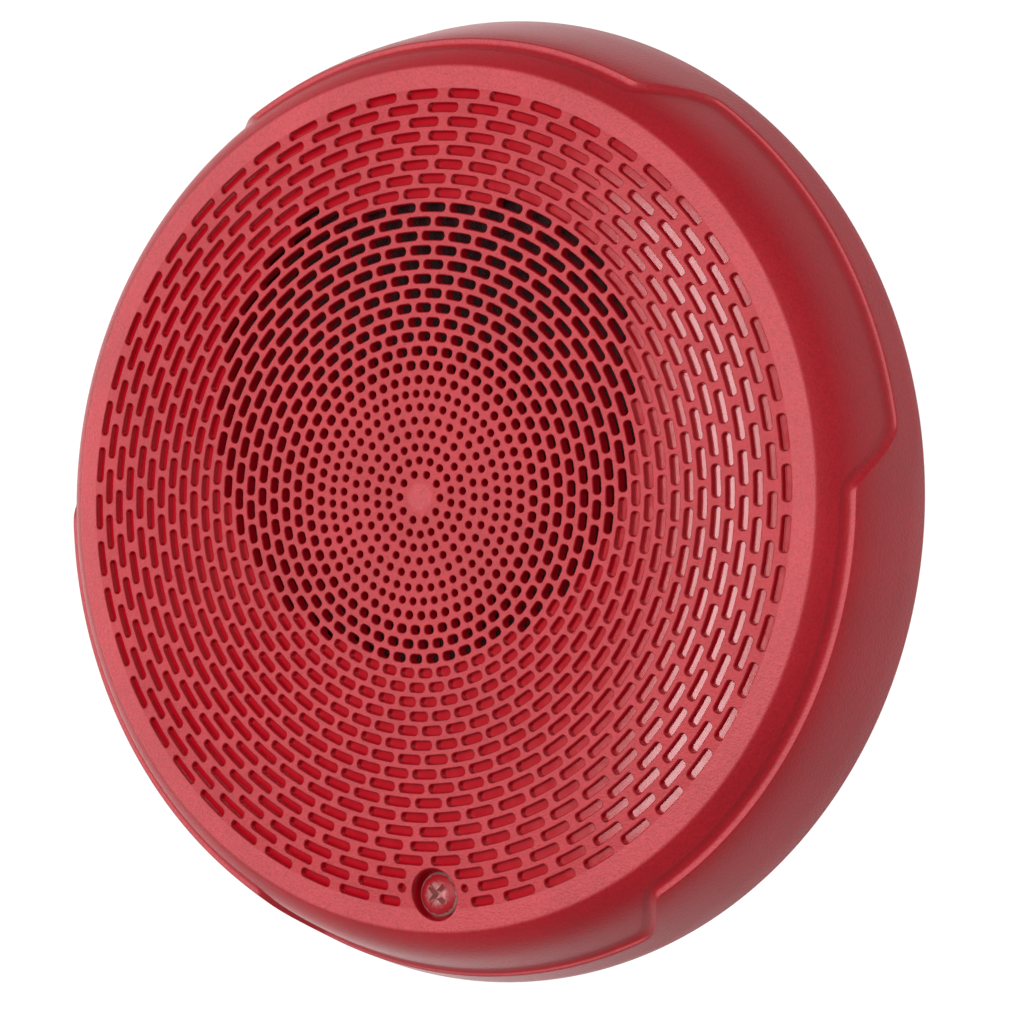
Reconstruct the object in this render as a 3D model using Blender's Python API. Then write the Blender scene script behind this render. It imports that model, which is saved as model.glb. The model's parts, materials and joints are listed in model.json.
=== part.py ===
"""Round wall or ceiling fire alarm sounder that plugs on to a mounting plate. Metres, +Z up.

The face looks along -Y and the wall is the plane Y = 0, with the origin at the middle of the mounting
plate's back face. Depths are counted backwards from the hub, the foremost point of the face. Angles go
clockwise from the top, as seen from the front.
"""

import bpy
import bmesh
from math import cos, degrees, exp, hypot, pi, radians, sin
from mathutils import Matrix, Vector

MM = 0.001
GAP = 0.3 * MM                      # between two solids that touch

# Overall sizes
DEPTH = 27.0 * MM                   # hub to wall
OUTER_R = 86.5 * MM                 # widest radius, near the wall
SIDE_FLARE = 9.9 * MM               # face rim radius to widest radius
FACE_R = OUTER_R - SIDE_FLARE
RIM_DROP = 4.2 * MM                 # the face is a shallow dome: rim behind hub
DOME_POWER = 4.3
WALL_GAP = 0.7 * MM                 # housing edge to wall

# Face, side wall and the wavy step between cover and housing ring
FACE_WALL = 2.2 * MM
SIDE_WALL = 1.3 * MM
STEP_WIDTH = 1.0 * MM               # the ring stands this much proud of the cover's side
STEP_INSET = 1.3 * MM               # the cover steps in by this much under the ring
STEP_SLOPE = 1.7 * MM               # the ring's front edge, a cove, runs back by this much
SHOULDER = 3.95 * MM                # quick flare just behind the face rim
SHOULDER_LENGTH = 3.2 * MM
RING_EDGE_R = 1.2 * MM
LOBES = 3
LOBE_ANGLE = 60.0                   # degrees, middle of the first deep lobe
LOBE_HALF_WIDTH = 26.7              # degrees
LOBE_BLEND = 9.0                    # degrees over which the step drops
SHALLOW_STEP = 7.0 * MM             # depth of the step between the lobes
DEEP_STEP = 17.4 * MM               # and in each lobe

# Rear cover and mounting plate
COVER_BACK_GAP = 3.0 * MM           # rear cover to wall
REAR_WALL = 1.6 * MM
PLATE_WALL = 2.0 * MM
PLATE_R = 64.0 * MM
PLATE_RIM = 0.6 * MM
PLATE_RIM_WALL = 1.6 * MM
EAR_MARGIN = 4.0 * MM               # plate beyond a hook or the screw boss
BOX_SLOT_WIDTH = 5.0 * MM           # slots for the screws of a wall box
SIDE_SLOT_LENGTH = 10.0 * MM
SIDE_SLOT_X = 44.5 * MM
SIDE_SLOT_Z = 14.0 * MM
LOW_SLOT_LENGTH = 8.0 * MM
LOW_SLOT_X = 34.0 * MM
LOW_SLOT_Z = -40.0 * MM

# Loudspeaker, on its own axis above the hub
SPEAKER_Z = 15.0 * MM
SPEAKER_FRONT = 7.6 * MM            # depth of the flange's front face
FLANGE_R = 53.0 * MM
FLANGE_WALL = 1.0 * MM
GASKET_WALL = 1.1 * MM
ROLL_R = 46.4 * MM                  # outer radius of the rolled surround
ROLL_HEIGHT = 1.5 * MM
ROLL_WALL = 0.5 * MM
GASKET_INSET = 0.6 * MM             # gasket beyond the surround
CONE_R = 41.0 * MM
CONE_WALL = 0.7 * MM
NECK_R = 10.8 * MM
CONE_DEPTH = 9.0 * MM
CAP_R = 12.5 * MM
CAP_HEIGHT = 3.6 * MM
BASKET_DEPTH = 13.4 * MM
BASKET_SEAT_R = 27.0 * MM
WINDOW_WIDTH = 22.0 * MM            # openings in the basket
SPIDER_BEHIND = 2.2 * MM            # spider behind the cone's neck
SPIDER_WALL = 0.4 * MM
SPIDER_WAVE = 0.35 * MM
SCREEN_WALL = 0.4 * MM
MAGNET_R = 27.5 * MM
MAGNET_WALL = 9.0 * MM
TOP_PLATE_WALL = 3.0 * MM
YOKE_WALL = 3.0 * MM
POLE_R = 8.9 * MM
COIL_R = 9.8 * MM
COIL_WALL = 0.5 * MM
COIL_CLEARANCE = 0.7 * MM
VENT_R = COIL_R + COIL_WALL + COIL_CLEARANCE
MAGNET_BEVEL = 0.8 * MM
TAG_SIZE = (14.0 * MM, 4.6 * MM)    # strip that the leads are soldered to
TAG_WALL = 1.4 * MM
TAG_X = 19.0 * MM
TAG_Z = SPEAKER_Z - 46.6 * MM
TAG_DEPTH = SPEAKER_FRONT + FLANGE_WALL + 0.6 * MM
LEAD_R = 0.55 * MM
LEAD_DROP = 11.4 * MM
LEAD_SLANT = 1.0 * MM
MAGNET_CLEARANCE = 3.0 * MM         # round the magnet, in both plates

# Sound openings in the face
SOUND_R = 43.7 * MM
SOUND_TOP = 52.3 * MM
ROW_PITCH = 10.16 * MM
SLOT_PITCH = 15.0 * MM
SLOT_WIDTH = 6.0 * MM
SLOT_WEB = 3.4 * MM

# Captive screw
SCREW_Z = -69.9 * MM
SCREW_HEAD_R = 4.0 * MM
SCREW_HEAD = 2.0 * MM
SCREW_R = 1.8 * MM
SCREW_RECESS = 2.9 * MM
SCREW_FLOOR = 2.0 * MM
SCREW_CLEARANCE = 0.6 * MM
CROSS_ARM = 2.3 * MM
CROSS_HALF_WIDTH = 0.45 * MM
CROSS_DEPTH = 1.3 * MM
TUBE_WALL = 1.2 * MM
TUBE_R = SCREW_HEAD_R + SCREW_CLEARANCE + TUBE_WALL
TUBE_BORE_R = 4.2 * MM
TUBE_END = 17.0 * MM
CLIP_R = 3.5 * MM
CLIP_WALL = 0.8 * MM
BOSS_R = 4.8 * MM
BOSS = 8.0 * MM

# Circuit board
BOARD_FRONT = 16.4 * MM
BOARD_WALL = 1.6 * MM
BOARD_SIZE = (84.0 * MM, 33.0 * MM)
BOARD_Z = -42.0 * MM
BOARD_BACK = BOARD_FRONT + BOARD_WALL
BOARD_POST_INSET = 4.0 * MM
SELECTOR_X = 29.0 * MM
SELECTOR_Z = -50.0 * MM
SELECTOR_HALF = 4.6 * MM            # half the body of the rotary switch
SELECTOR_WELL = 1.6 * MM            # depth of the wells that hold the knob and the slider
KNOB_R = 3.4 * MM
KNOB_SLOT = 1.0 * MM
SLIDE_SWITCH_HALF = 4.0 * MM        # its body beyond each end position of the slider
SLIDE_SWITCH_HALF_HEIGHT = 2.9 * MM
SLIDER_SIZE = (2.6 * MM, 2.6 * MM)
SLIDER_TRAVEL = 3.0 * MM
TRANSFORMER_X = -21.0 * MM
TRANSFORMER_Z = -50.0 * MM
TRANSFORMER_FRONT = 8.0 * MM
TRANSFORMER_BACK = 14.2 * MM
CORE_HALF = (12.0 * MM, 7.5 * MM)
LIMB_HALF = 4.0 * MM                # half the middle limb, which the winding goes round
CORE_WINDOW = (4.0 * MM, 9.6 * MM)
WINDING_WALL = 1.6 * MM
CAPACITOR_X = 4.0 * MM
CAPACITOR_Z = -51.0 * MM
CAPACITOR_R = 4.2 * MM
CAPACITOR_HEIGHT = 9.6 * MM

# Terminals: one cell for each of the field wires
CELLS = 4
CLAMP_SIZE = 7.6 * MM
CLAMP_PLAY = 0.5 * MM               # clamp to cell wall
CELL_WALL = 1.4 * MM
CELL_WIDTH = CLAMP_SIZE + 2 * CLAMP_PLAY
CELL_PITCH = CELL_WIDTH + CELL_WALL
CELL_DEPTH = 6.3 * MM
BLOCK_Z = -40.0 * MM
BLOCK_WIDTH = CELLS * CELL_PITCH + 3.0 * MM
BLOCK_HEIGHT = 23.0 * MM
BLOCK_TOP_WALL = 2.0 * MM
BLOCK_DEPTH = 11.0 * MM
BLOCK_FRONT = 2.2 * MM              # in front of the wall
BLOCK_CLEARANCE = 0.3 * MM
PIN_Z = -34.0 * MM
PIN_SIZE = (2.4 * MM, 0.9 * MM)
PIN_REACH = 2.6 * MM                # behind the wall
CLAMP_Z = -44.0 * MM
CLAMP_WALL = 1.0 * MM
CLAMP_BORE_R = 2.0 * MM
CLAMP_SCREW_R = 1.4 * MM
CLAMP_HEAD_R = 3.1 * MM
CLAMP_HEAD = 1.5 * MM
CLAMP_SLOT = 0.8 * MM
CONTACT_WALL = 0.8 * MM
BLADE_WIDTH = 4.8 * MM
BLADE_GAP = 0.5 * MM                # blade to plug pin
PIN_HOLE = (3.4 * MM, 1.88 * MM)    # in the contact's foot
WIRE_GAP = 0.3 * MM

# Hooks that carry the top of the unit
HOOK_X = 24.0 * MM
HOOK_Z = 71.0 * MM
HOOK_WIDTH = 8.0 * MM
HOOK_WALL = 2.0 * MM
HOOK_REACH = 9.4 * MM
HOOK_LIP = 2.4 * MM
HOOK_LIP_WALL = 1.6 * MM
HOOK_PLAY = 1.0 * MM                # hook to its opening in the rear cover

# Fixings
POST_R = 3.2 * MM
POST_ANGLES = (45.0, 135.0, 225.0, 315.0)
FIXING_R = 1.1 * MM
FIXING_HEAD_R = 2.6 * MM
FIXING_HEAD = 1.5 * MM
FIXING_LENGTH = 8.0 * MM
SPEAKER_FIXING_DEPTH = 2.6 * MM     # bore of a loudspeaker screw, in the seat rib

FINE = 48                           # segments of the large shells
ROUND = 32
SMALL = 10


# ---------------------------------------------------------------- materials

def material(name, colour, roughness, metallic=0.0):
    made = bpy.data.materials.new(name)
    made.use_nodes = True
    shader = made.node_tree.nodes["Principled BSDF"]
    shader.inputs["Base Color"].default_value = (*colour, 1.0)
    shader.inputs["Roughness"].default_value = roughness
    shader.inputs["Metallic"].default_value = metallic
    made.diffuse_color = (*colour, 1.0)
    return made


def clear_scene():
    for thing in list(bpy.data.objects):
        bpy.data.objects.remove(thing)


# ---------------------------------------------------------------- shape tools

def y_at(depth):
    """World Y of a depth counted back from the hub."""
    return depth - DEPTH


def finish(name, bm, finish_material, parent=None, location=(0, 0, 0), smooth=True):
    """Makes the object; location is in the world, also under a parent that has only moved."""
    bmesh.ops.recalc_face_normals(bm, faces=bm.faces)
    mesh = bpy.data.meshes.new(name)
    bm.to_mesh(mesh)
    bm.free()
    if smooth:
        mesh.shade_smooth()
        mesh.set_sharp_from_angle(angle=radians(32))
    thing = bpy.data.objects.new(name, mesh)
    bpy.context.collection.objects.link(thing)
    mesh.materials.append(finish_material)
    thing.parent = parent
    offset = parent.location if parent else Vector((0, 0, 0))
    thing.location = Vector(location) - offset
    return thing


def turned(profile_at, segments, phase=0.0):
    """Solid of revolution about local Y. profile_at(angle) gives a closed loop of (radius, y)."""
    bm = bmesh.new()
    first = profile_at(0.0)
    count = len(first)
    poles = {i: bm.verts.new((0, y, 0)) for i, (r, y) in enumerate(first) if r < 1e-7}
    rings = []
    for step in range(segments):
        angle = 2 * pi * (step + phase) / segments
        loop = profile_at(angle)
        rings.append([poles[i] if i in poles else
                      bm.verts.new((r * sin(angle), y, r * cos(angle)))
                      for i, (r, y) in enumerate(loop)])
    for step in range(segments):
        here, after = rings[step], rings[(step + 1) % segments]
        for i in range(count):
            j = (i + 1) % count
            corners = list(dict.fromkeys((here[i], here[j], after[j], after[i])))
            if len(corners) > 2:
                bm.faces.new(corners)
    return bm


def lathe(profile, segments=ROUND, phase=0.0):
    return turned(lambda angle: profile, segments, phase)


def add_box(bm, low, high, turn=None):
    """Adds a box between two corners; turn is an optional matrix that places it."""
    made = bmesh.ops.create_cube(bm, size=1.0)["verts"]
    low, high = Vector(low), Vector(high)
    for vert in made:
        vert.co = Vector([low[k] + (vert.co[k] + 0.5) * (high[k] - low[k]) for k in range(3)])
        if turn:
            vert.co = turn @ vert.co
    return bm


def boxes(*corners):
    bm = bmesh.new()
    for low, high in corners:
        add_box(bm, low, high)
    return bm


def rod(radius, y_low, y_high, segments=SMALL, phase=0.5):
    """A cylinder; half a segment of turn keeps its corners off the seams of larger shapes."""
    return lathe([(0, y_low), (radius, y_low), (radius, y_high), (0, y_high)], segments, phase)


def helper(name, bm, location=(0, 0, 0)):
    """A shape used only to cut or to join: not drawn and not a piece of the object."""
    thing = finish("helper_" + name, bm, PLAIN, location=location, smooth=False)
    thing.hide_render = True
    thing.display_type = "WIRE"
    return thing


def boolean(target, operation, bm, location=(0, 0, 0)):
    label = target.name + "_" + str(len(target.modifiers))
    modifier = target.modifiers.new(label, "BOOLEAN")
    modifier.operation = operation
    modifier.solver = "EXACT"
    modifier.object = helper(label, bm, location)


def cut(target, bm, location=(0, 0, 0)):
    boolean(target, "DIFFERENCE", bm, location)


def join(target, bm, location=(0, 0, 0)):
    boolean(target, "UNION", bm, location)


# ---------------------------------------------------------------- outline of the shell

def face_depth(radius):
    """Depth of the domed face at a distance from the hub."""
    return RIM_DROP * (radius / FACE_R) ** DOME_POWER


WIDEST_DEPTH = DEPTH - WALL_GAP - RING_EDGE_R
SIDE_SLOPE = (SIDE_FLARE - SHOULDER - STEP_WIDTH) / (WIDEST_DEPTH - RIM_DROP)


def side_r(depth):
    """Radius of the front cover's side wall: a quick shoulder, then a steady flare."""
    behind = depth - RIM_DROP
    return FACE_R + SHOULDER * (1 - exp(-behind / SHOULDER_LENGTH)) + SIDE_SLOPE * behind


def step_depth(angle):
    """Depth of the wavy step at an angle: shallow between the lobes, deep in each one."""
    sector = 360.0 / LOBES
    away = abs((degrees(angle) - LOBE_ANGLE + sector / 2) % sector - sector / 2)
    share = min(1.0, max(0.0, (LOBE_HALF_WIDTH - away) / LOBE_BLEND + 0.5))
    return SHALLOW_STEP + (DEEP_STEP - SHALLOW_STEP) * share * share * (3 - 2 * share)


REAR_BACK = DEPTH - COVER_BACK_GAP              # depth of the rear cover's back face
REAR_FRONT = REAR_BACK - REAR_WALL
REAR_R = side_r(REAR_FRONT) - STEP_INSET - SIDE_WALL - GAP
POST_CIRCLE = FACE_R - 5.0 * MM
SEAT_DEPTH = SPEAKER_FRONT - GAP - GASKET_WALL - GAP    # back of the rib that the gasket presses on
SCREW_SEAT = face_depth(abs(SCREW_Z)) + SCREW_RECESS


# ---------------------------------------------------------------- front cover and housing ring

def between(start, end, count):
    return [start + (end - start) * k / (count - 1) for k in range(count)]


def tongue_depths(step, behind):
    """Depths along the tongue that the ring fits over, closer together where the side curves more."""
    return [step + behind] + [step + share * (REAR_BACK - step) for share in (0.12, 0.35, 1.0)]


def cover_profile(angle):
    step = step_depth(angle)
    outer = [(r * FACE_R, y_at(face_depth(r * FACE_R))) for r in (0.0, 0.6, 0.78, 0.9)]
    for share in (0.0, 0.12, 0.32, 0.62, 1.0):
        depth = RIM_DROP + share * (step - RIM_DROP)
        outer.append((side_r(depth), y_at(depth)))
    outer += [(side_r(depth) - STEP_INSET, y_at(depth)) for depth in tongue_depths(step, GAP / 10)]
    inset = STEP_INSET + SIDE_WALL
    depths = between(REAR_BACK, SHALLOW_STEP + SIDE_WALL, 4)
    inner = [(side_r(depth) - inset, y_at(depth)) for depth in depths]
    inner.append((FACE_R - inset, y_at(RIM_DROP + FACE_WALL + SIDE_WALL)))
    inner += [(r * FACE_R, y_at(face_depth(r * FACE_R) + FACE_WALL)) for r in (0.9, 0.75, 0.0)]
    return outer + inner


def ring_profile(angle):
    step = step_depth(angle)
    brow = step + GAP + STEP_SLOPE
    root = side_r(step + GAP) - GAP / 3
    lip = side_r(brow) + STEP_WIDTH
    cove = [(root, y_at(step + GAP)), (root + 0.4 * (lip - root), y_at(step + GAP + 0.75 * STEP_SLOPE))]
    outside = [(side_r(depth) + STEP_WIDTH, y_at(depth)) for depth in between(brow, WIDEST_DEPTH, 4)]
    middle = side_r(WIDEST_DEPTH) + STEP_WIDTH - RING_EDGE_R
    edge = [(middle + RING_EDGE_R * cos(a), y_at(WIDEST_DEPTH + RING_EDGE_R * sin(a)))
            for a in (radians(45), radians(90))]
    inset = STEP_INSET - GAP
    depths = tongue_depths(step, GAP) + [DEPTH - WALL_GAP]
    inside = [(side_r(depth) - inset, y_at(depth)) for depth in reversed(depths)]
    return cove + outside + edge + inside


def sound_slots():
    """The rows of openings in front of the loudspeaker, all centred on the hub."""
    bm = bmesh.new()
    reach = SLOT_WIDTH / 2
    radius = ROW_PITCH
    while radius < SOUND_R + SPEAKER_Z:
        count = max(6, int(2 * pi * radius / SLOT_PITCH))
        half = (2 * pi * radius / count - SLOT_WEB) / 2
        for k in range(count):
            angle = 2 * pi * (k + 0.5) / count
            x, z = radius * sin(angle), radius * cos(angle)
            if hypot(x, z - SPEAKER_Z) > SOUND_R - reach or z > SOUND_TOP - reach:
                continue
            turn = Matrix.Rotation(angle, 4, "Y")
            low = (-half, y_at(-2 * MM), radius - reach)
            high = (half, y_at(face_depth(radius) + FACE_WALL + 1.2 * MM), radius + reach)
            add_box(bm, low, high, turn)
        radius += ROW_PITCH
    return bm


def seat_profile(angle):
    """The rib that the loudspeaker's gasket presses on; its root follows the inside of the dome."""
    def root(radius):
        from_hub = hypot(radius * sin(angle), SPEAKER_Z + radius * cos(angle))
        return y_at(face_depth(from_hub) + FACE_WALL / 2)
    inner = ROLL_R + GASKET_INSET
    seat = y_at(SEAT_DEPTH)
    return [(inner, root(inner)), (FLANGE_R, root(FLANGE_R)), (FLANGE_R, seat), (inner, seat)]


def ring_at(angle, radius):
    """World X and Z of a point at an angle in degrees and a radius from the hub."""
    return radius * sin(radians(angle)), radius * cos(radians(angle))


def board_posts():
    x = BOARD_SIZE[0] / 2 - BOARD_POST_INSET
    return [(side * x, BOARD_Z - BOARD_SIZE[1] / 2 + BOARD_POST_INSET) for side in (-1, 1)]


def front_cover():
    cover = finish("front_cover", turned(cover_profile, FINE), RED)
    inside = face_depth(abs(SCREW_Z)) + FACE_WALL
    join(cover, turned(seat_profile, ROUND), (0, 0, SPEAKER_Z))
    for angle in POST_ANGLES:
        x, z = ring_at(angle, POST_CIRCLE)
        start = face_depth(POST_CIRCLE) + FACE_WALL / 2
        join(cover, rod(POST_R, y_at(start), y_at(REAR_FRONT - GAP)), (x, 0, z))
        bore = rod(FIXING_R + GAP, y_at(REAR_FRONT - FIXING_LENGTH), y_at(REAR_FRONT + MM))
        cut(cover, bore, (x, 0, z))
    for x, z in board_posts():
        start = face_depth(hypot(x, z)) + FACE_WALL / 2
        join(cover, rod(POST_R, y_at(start), y_at(BOARD_FRONT - GAP)), (x, 0, z))
        bore = rod(FIXING_R + GAP, y_at(BOARD_FRONT - FIXING_LENGTH), y_at(BOARD_FRONT + MM))
        cut(cover, bore, (x, 0, z))
    for x, z in speaker_fixings():
        bore = rod(FIXING_R + GAP, y_at(SEAT_DEPTH - SPEAKER_FIXING_DEPTH), y_at(SEAT_DEPTH + MM))
        cut(cover, bore, (x, 0, z))
    # The tube and recess of the captive screw; a tube of 20 sides shares no plane with its bores of 24
    join(cover, rod(TUBE_R, y_at(inside - FACE_WALL / 2), y_at(TUBE_END), 20), (0, 0, SCREW_Z))
    cut(cover, rod(SCREW_HEAD_R + SCREW_CLEARANCE, y_at(-2 * MM), y_at(SCREW_SEAT), 24), (0, 0, SCREW_Z))
    cut(cover, rod(TUBE_BORE_R, y_at(SCREW_SEAT + SCREW_FLOOR), y_at(TUBE_END + MM), 24), (0, 0, SCREW_Z))
    cut(cover, rod(SCREW_R + SCREW_CLEARANCE / 2, y_at(SCREW_SEAT - MM), y_at(TUBE_END)), (0, 0, SCREW_Z))
    cut(cover, sound_slots())
    return cover


def speaker_fixings():
    middle = (ROLL_R + FLANGE_R) / 2
    return [(middle * sin(radians(a)), SPEAKER_Z + middle * cos(radians(a))) for a in POST_ANGLES]


def dust_screen():
    back = SEAT_DEPTH - GAP
    finish("dust_screen", rod(ROLL_R, y_at(back - SCREEN_WALL), y_at(back), ROUND), BLACK_CLOTH,
           location=(0, 0, SPEAKER_Z))


# ---------------------------------------------------------------- rear cover

def fixing(name, x, z, seat, length, parent=None):
    """A pan head screw driven from behind: head at seat, shank towards the face."""
    bm = lathe([(0, seat - length), (FIXING_R * 0.5, seat - length), (FIXING_R, seat - length + MM),
                (FIXING_R, seat), (FIXING_HEAD_R, seat), (FIXING_HEAD_R * 0.85, seat + FIXING_HEAD * 0.7),
                (FIXING_HEAD_R * 0.45, seat + FIXING_HEAD), (0, seat + FIXING_HEAD)], 10)
    return finish(name, bm, ZINC, parent, (x, 0, z))


def rear_cover():
    cover = finish("rear_cover", rod(REAR_R, y_at(REAR_FRONT), y_at(REAR_BACK), FINE, 0.0), DARK_PLASTIC)
    deep = (y_at(REAR_FRONT) - MM, y_at(REAR_BACK) + MM)
    cut(cover, rod(MAGNET_R + MAGNET_CLEARANCE, *deep, ROUND), (0, 0, SPEAKER_Z))
    for angle in POST_ANGLES:
        x, z = ring_at(angle, POST_CIRCLE)
        cut(cover, rod(FIXING_R + GAP, *deep), (x, 0, z))
    cut(cover, rod(BOSS_R + SCREW_CLEARANCE + GAP, *deep, 24), (0, 0, SCREW_Z))
    cut(cover, rod(KNOB_R + 0.5 * MM, *deep, 24), (SELECTOR_X, 0, SELECTOR_Z))

    def opening(x, z, half, low, high):
        return (x - half, deep[0], z - low), (x + half, deep[1], z + high)

    pins = (CELLS - 1) / 2 * CELL_PITCH + PIN_SIZE[0] / 2 + 1.2 * MM
    tall = PIN_SIZE[1] / 2 + 2.0 * MM
    slider = SLIDER_TRAVEL / 2 + SLIDER_SIZE[0] / 2 + 0.6 * MM
    high = SLIDER_SIZE[1] / 2 + 0.6 * MM
    openings = [opening(0, PIN_Z, pins, tall, tall),
                opening(-SELECTOR_X + SLIDER_TRAVEL / 2, SELECTOR_Z, slider, high, high)]
    for side in (-1, 1):
        openings.append(opening(side * HOOK_X, HOOK_Z, HOOK_WIDTH / 2 + HOOK_PLAY, 2.4 * HOOK_PLAY,
                                HOOK_WALL + HOOK_LIP + 1.6 * HOOK_PLAY))
    cut(cover, boxes(*openings))
    for number, angle in enumerate(POST_ANGLES, 1):
        x, z = ring_at(angle, POST_CIRCLE)
        fixing(f"case_screw_{number}", x, z, y_at(REAR_BACK) + GAP, FIXING_LENGTH)


# ---------------------------------------------------------------- loudspeaker

def loudspeaker():
    at = (0, 0, SPEAKER_Z)
    front = SPEAKER_FRONT
    inner = ROLL_R + GASKET_INSET
    gasket = lathe([(inner, y_at(SEAT_DEPTH + GAP)), (FLANGE_R, y_at(SEAT_DEPTH + GAP)),
                    (FLANGE_R, y_at(front - GAP)), (inner, y_at(front - GAP))])
    gasket = finish("speaker_gasket", gasket, FOAM, location=at)
    back = front + BASKET_DEPTH
    wall = FLANGE_WALL
    basket_r = ROLL_R - 0.4 * MM
    frame = lathe([(CONE_R + 3.2 * MM, y_at(front)), (FLANGE_R, y_at(front)), (FLANGE_R, y_at(front + wall)),
                   (basket_r, y_at(front + wall)), (BASKET_SEAT_R, y_at(back)), (VENT_R, y_at(back)),
                   (VENT_R, y_at(back - wall)), (BASKET_SEAT_R - 1.2 * MM, y_at(back - wall))])
    frame = finish("speaker_frame", frame, STEEL, location=at)
    windows = bmesh.new()
    for k in range(4):
        turn = Matrix.Rotation(radians(90 * k), 4, "Y")
        add_box(windows, (-WINDOW_WIDTH / 2, y_at(front + 3.2 * MM), BASKET_SEAT_R - 5.0 * MM),
                (WINDOW_WIDTH / 2, y_at(back - 2.4 * MM), FLANGE_R + 7.0 * MM), turn)
    cut(frame, windows, at)
    for number, (x, z) in enumerate(speaker_fixings(), 1):
        for piece in (gasket, frame):
            cut(piece, rod(FIXING_R + GAP, y_at(SEAT_DEPTH), y_at(front + 2 * wall), 12), (x, 0, z))
        head = front + wall + GAP
        length = head - SEAT_DEPTH + SPEAKER_FIXING_DEPTH - 0.4 * MM
        fixing(f"speaker_screw_{number}", x, z, y_at(head), length)
    # Rolled surround: a half round of cloth between the cone and the flange
    outer, inner = ROLL_R, CONE_R + GAP + 0.2 * MM
    middle, half = (outer + inner) / 2, (outer - inner) / 2

    def arch(wide, high, angles):
        return [(middle - wide * cos(radians(a)), y_at(front - GAP - high * sin(radians(a)))) for a in angles]

    crest = arch(half, ROLL_HEIGHT, range(0, 181, 60))
    under = arch(half - ROLL_WALL, ROLL_HEIGHT - ROLL_WALL, range(180, -1, -60))
    finish("surround", lathe(crest + under), RUBBER, location=at)
    # Spider: the corrugated disc that centres the coil
    spider_depth = front + CONE_DEPTH + SPIDER_BEHIND
    radii = between(NECK_R + 0.6 * MM, BASKET_SEAT_R - 2.4 * MM, 6)
    wave = [(r, y_at(spider_depth + (SPIDER_WAVE if k % 2 else -SPIDER_WAVE))) for k, r in enumerate(radii)]
    back_wave = [(r, y + SPIDER_WALL) for r, y in reversed(wave)]
    finish("spider", lathe(wave + back_wave, 24), CLOTH, location=at)
    # Motor
    seat = back + GAP
    plate_end = seat + TOP_PLATE_WALL
    magnet_end = plate_end + GAP + MAGNET_WALL
    plate_r = BASKET_SEAT_R - 2 * MM
    ring = lathe([(VENT_R, y_at(seat)), (plate_r, y_at(seat)),
                  (plate_r, y_at(plate_end)), (VENT_R, y_at(plate_end))])
    finish("magnet_top_plate", ring, STEEL, location=at)
    magnet_front = plate_end + GAP
    bore, narrow = VENT_R + 2 * MM, MAGNET_R - MAGNET_BEVEL
    ring = lathe([(bore, y_at(magnet_front)), (narrow, y_at(magnet_front)),
                  (MAGNET_R, y_at(magnet_front + MAGNET_BEVEL)), (MAGNET_R, y_at(magnet_end - MAGNET_BEVEL)),
                  (narrow, y_at(magnet_end)), (bore, y_at(magnet_end))])
    finish("magnet", ring, FERRITE, location=at)
    yoke_front = magnet_end + GAP
    yoke = lathe([(0, y_at(seat)), (POLE_R, y_at(seat)), (POLE_R, y_at(yoke_front)),
                  (MAGNET_R - 2 * MM, y_at(yoke_front)), (MAGNET_R - 2 * MM, y_at(yoke_front + YOKE_WALL)),
                  (0, y_at(yoke_front + YOKE_WALL))])
    finish("magnet_yoke", yoke, STEEL, location=at)
    # Moving assembly, on an empty at the middle of its travel
    rest = bpy.data.objects.new("cone_axis", None)
    bpy.context.collection.objects.link(rest)
    rest.location = (0, y_at(front), SPEAKER_Z)
    slope = CONE_DEPTH / (CONE_R - NECK_R)
    neck = CONE_DEPTH
    throat = NECK_R - 0.4 * MM
    cone = lathe([(CONE_R, 0), (CONE_R, CONE_WALL), (NECK_R + GAP, neck + CONE_WALL),
                  (throat, neck + CONE_WALL), (throat, neck)])
    finish("speaker_cone", cone, PAPER, rest, rest.location)
    edge = (CONE_R - CAP_R) * slope - GAP

    def dome(inward, angles):
        return [((CAP_R - inward) * sin(radians(a)), edge - (CAP_HEIGHT - inward) * cos(radians(a)))
                for a in angles]

    cap = lathe(dome(0, (0, 30, 60, 90)) + dome(CONE_WALL, (90, 60, 30, 0)))
    finish("dust_cap", cap, PAPER, rest, rest.location)
    coil_front, coil_end = neck + CONE_WALL + GAP, plate_end - front + 1.5 * MM
    coil = lathe([(COIL_R, coil_front), (COIL_R + COIL_WALL, coil_front), (COIL_R + COIL_WALL, coil_end),
                  (COIL_R, coil_end)])
    finish("voice_coil", coil, COPPER, rest, rest.location)
    # Tag strip behind the flange's lower edge, where the leads are soldered
    wide, high = TAG_SIZE
    strip = boxes(((TAG_X - wide / 2, y_at(TAG_DEPTH), TAG_Z - high / 2),
                   (TAG_X + wide / 2, y_at(TAG_DEPTH + TAG_WALL), TAG_Z + high / 2)))
    finish("speaker_tag_strip", strip, TAN_BOARD, smooth=False)


# ---------------------------------------------------------------- circuit board

def cell_x(number):
    return (number - (CELLS - 1) / 2) * CELL_PITCH


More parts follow.
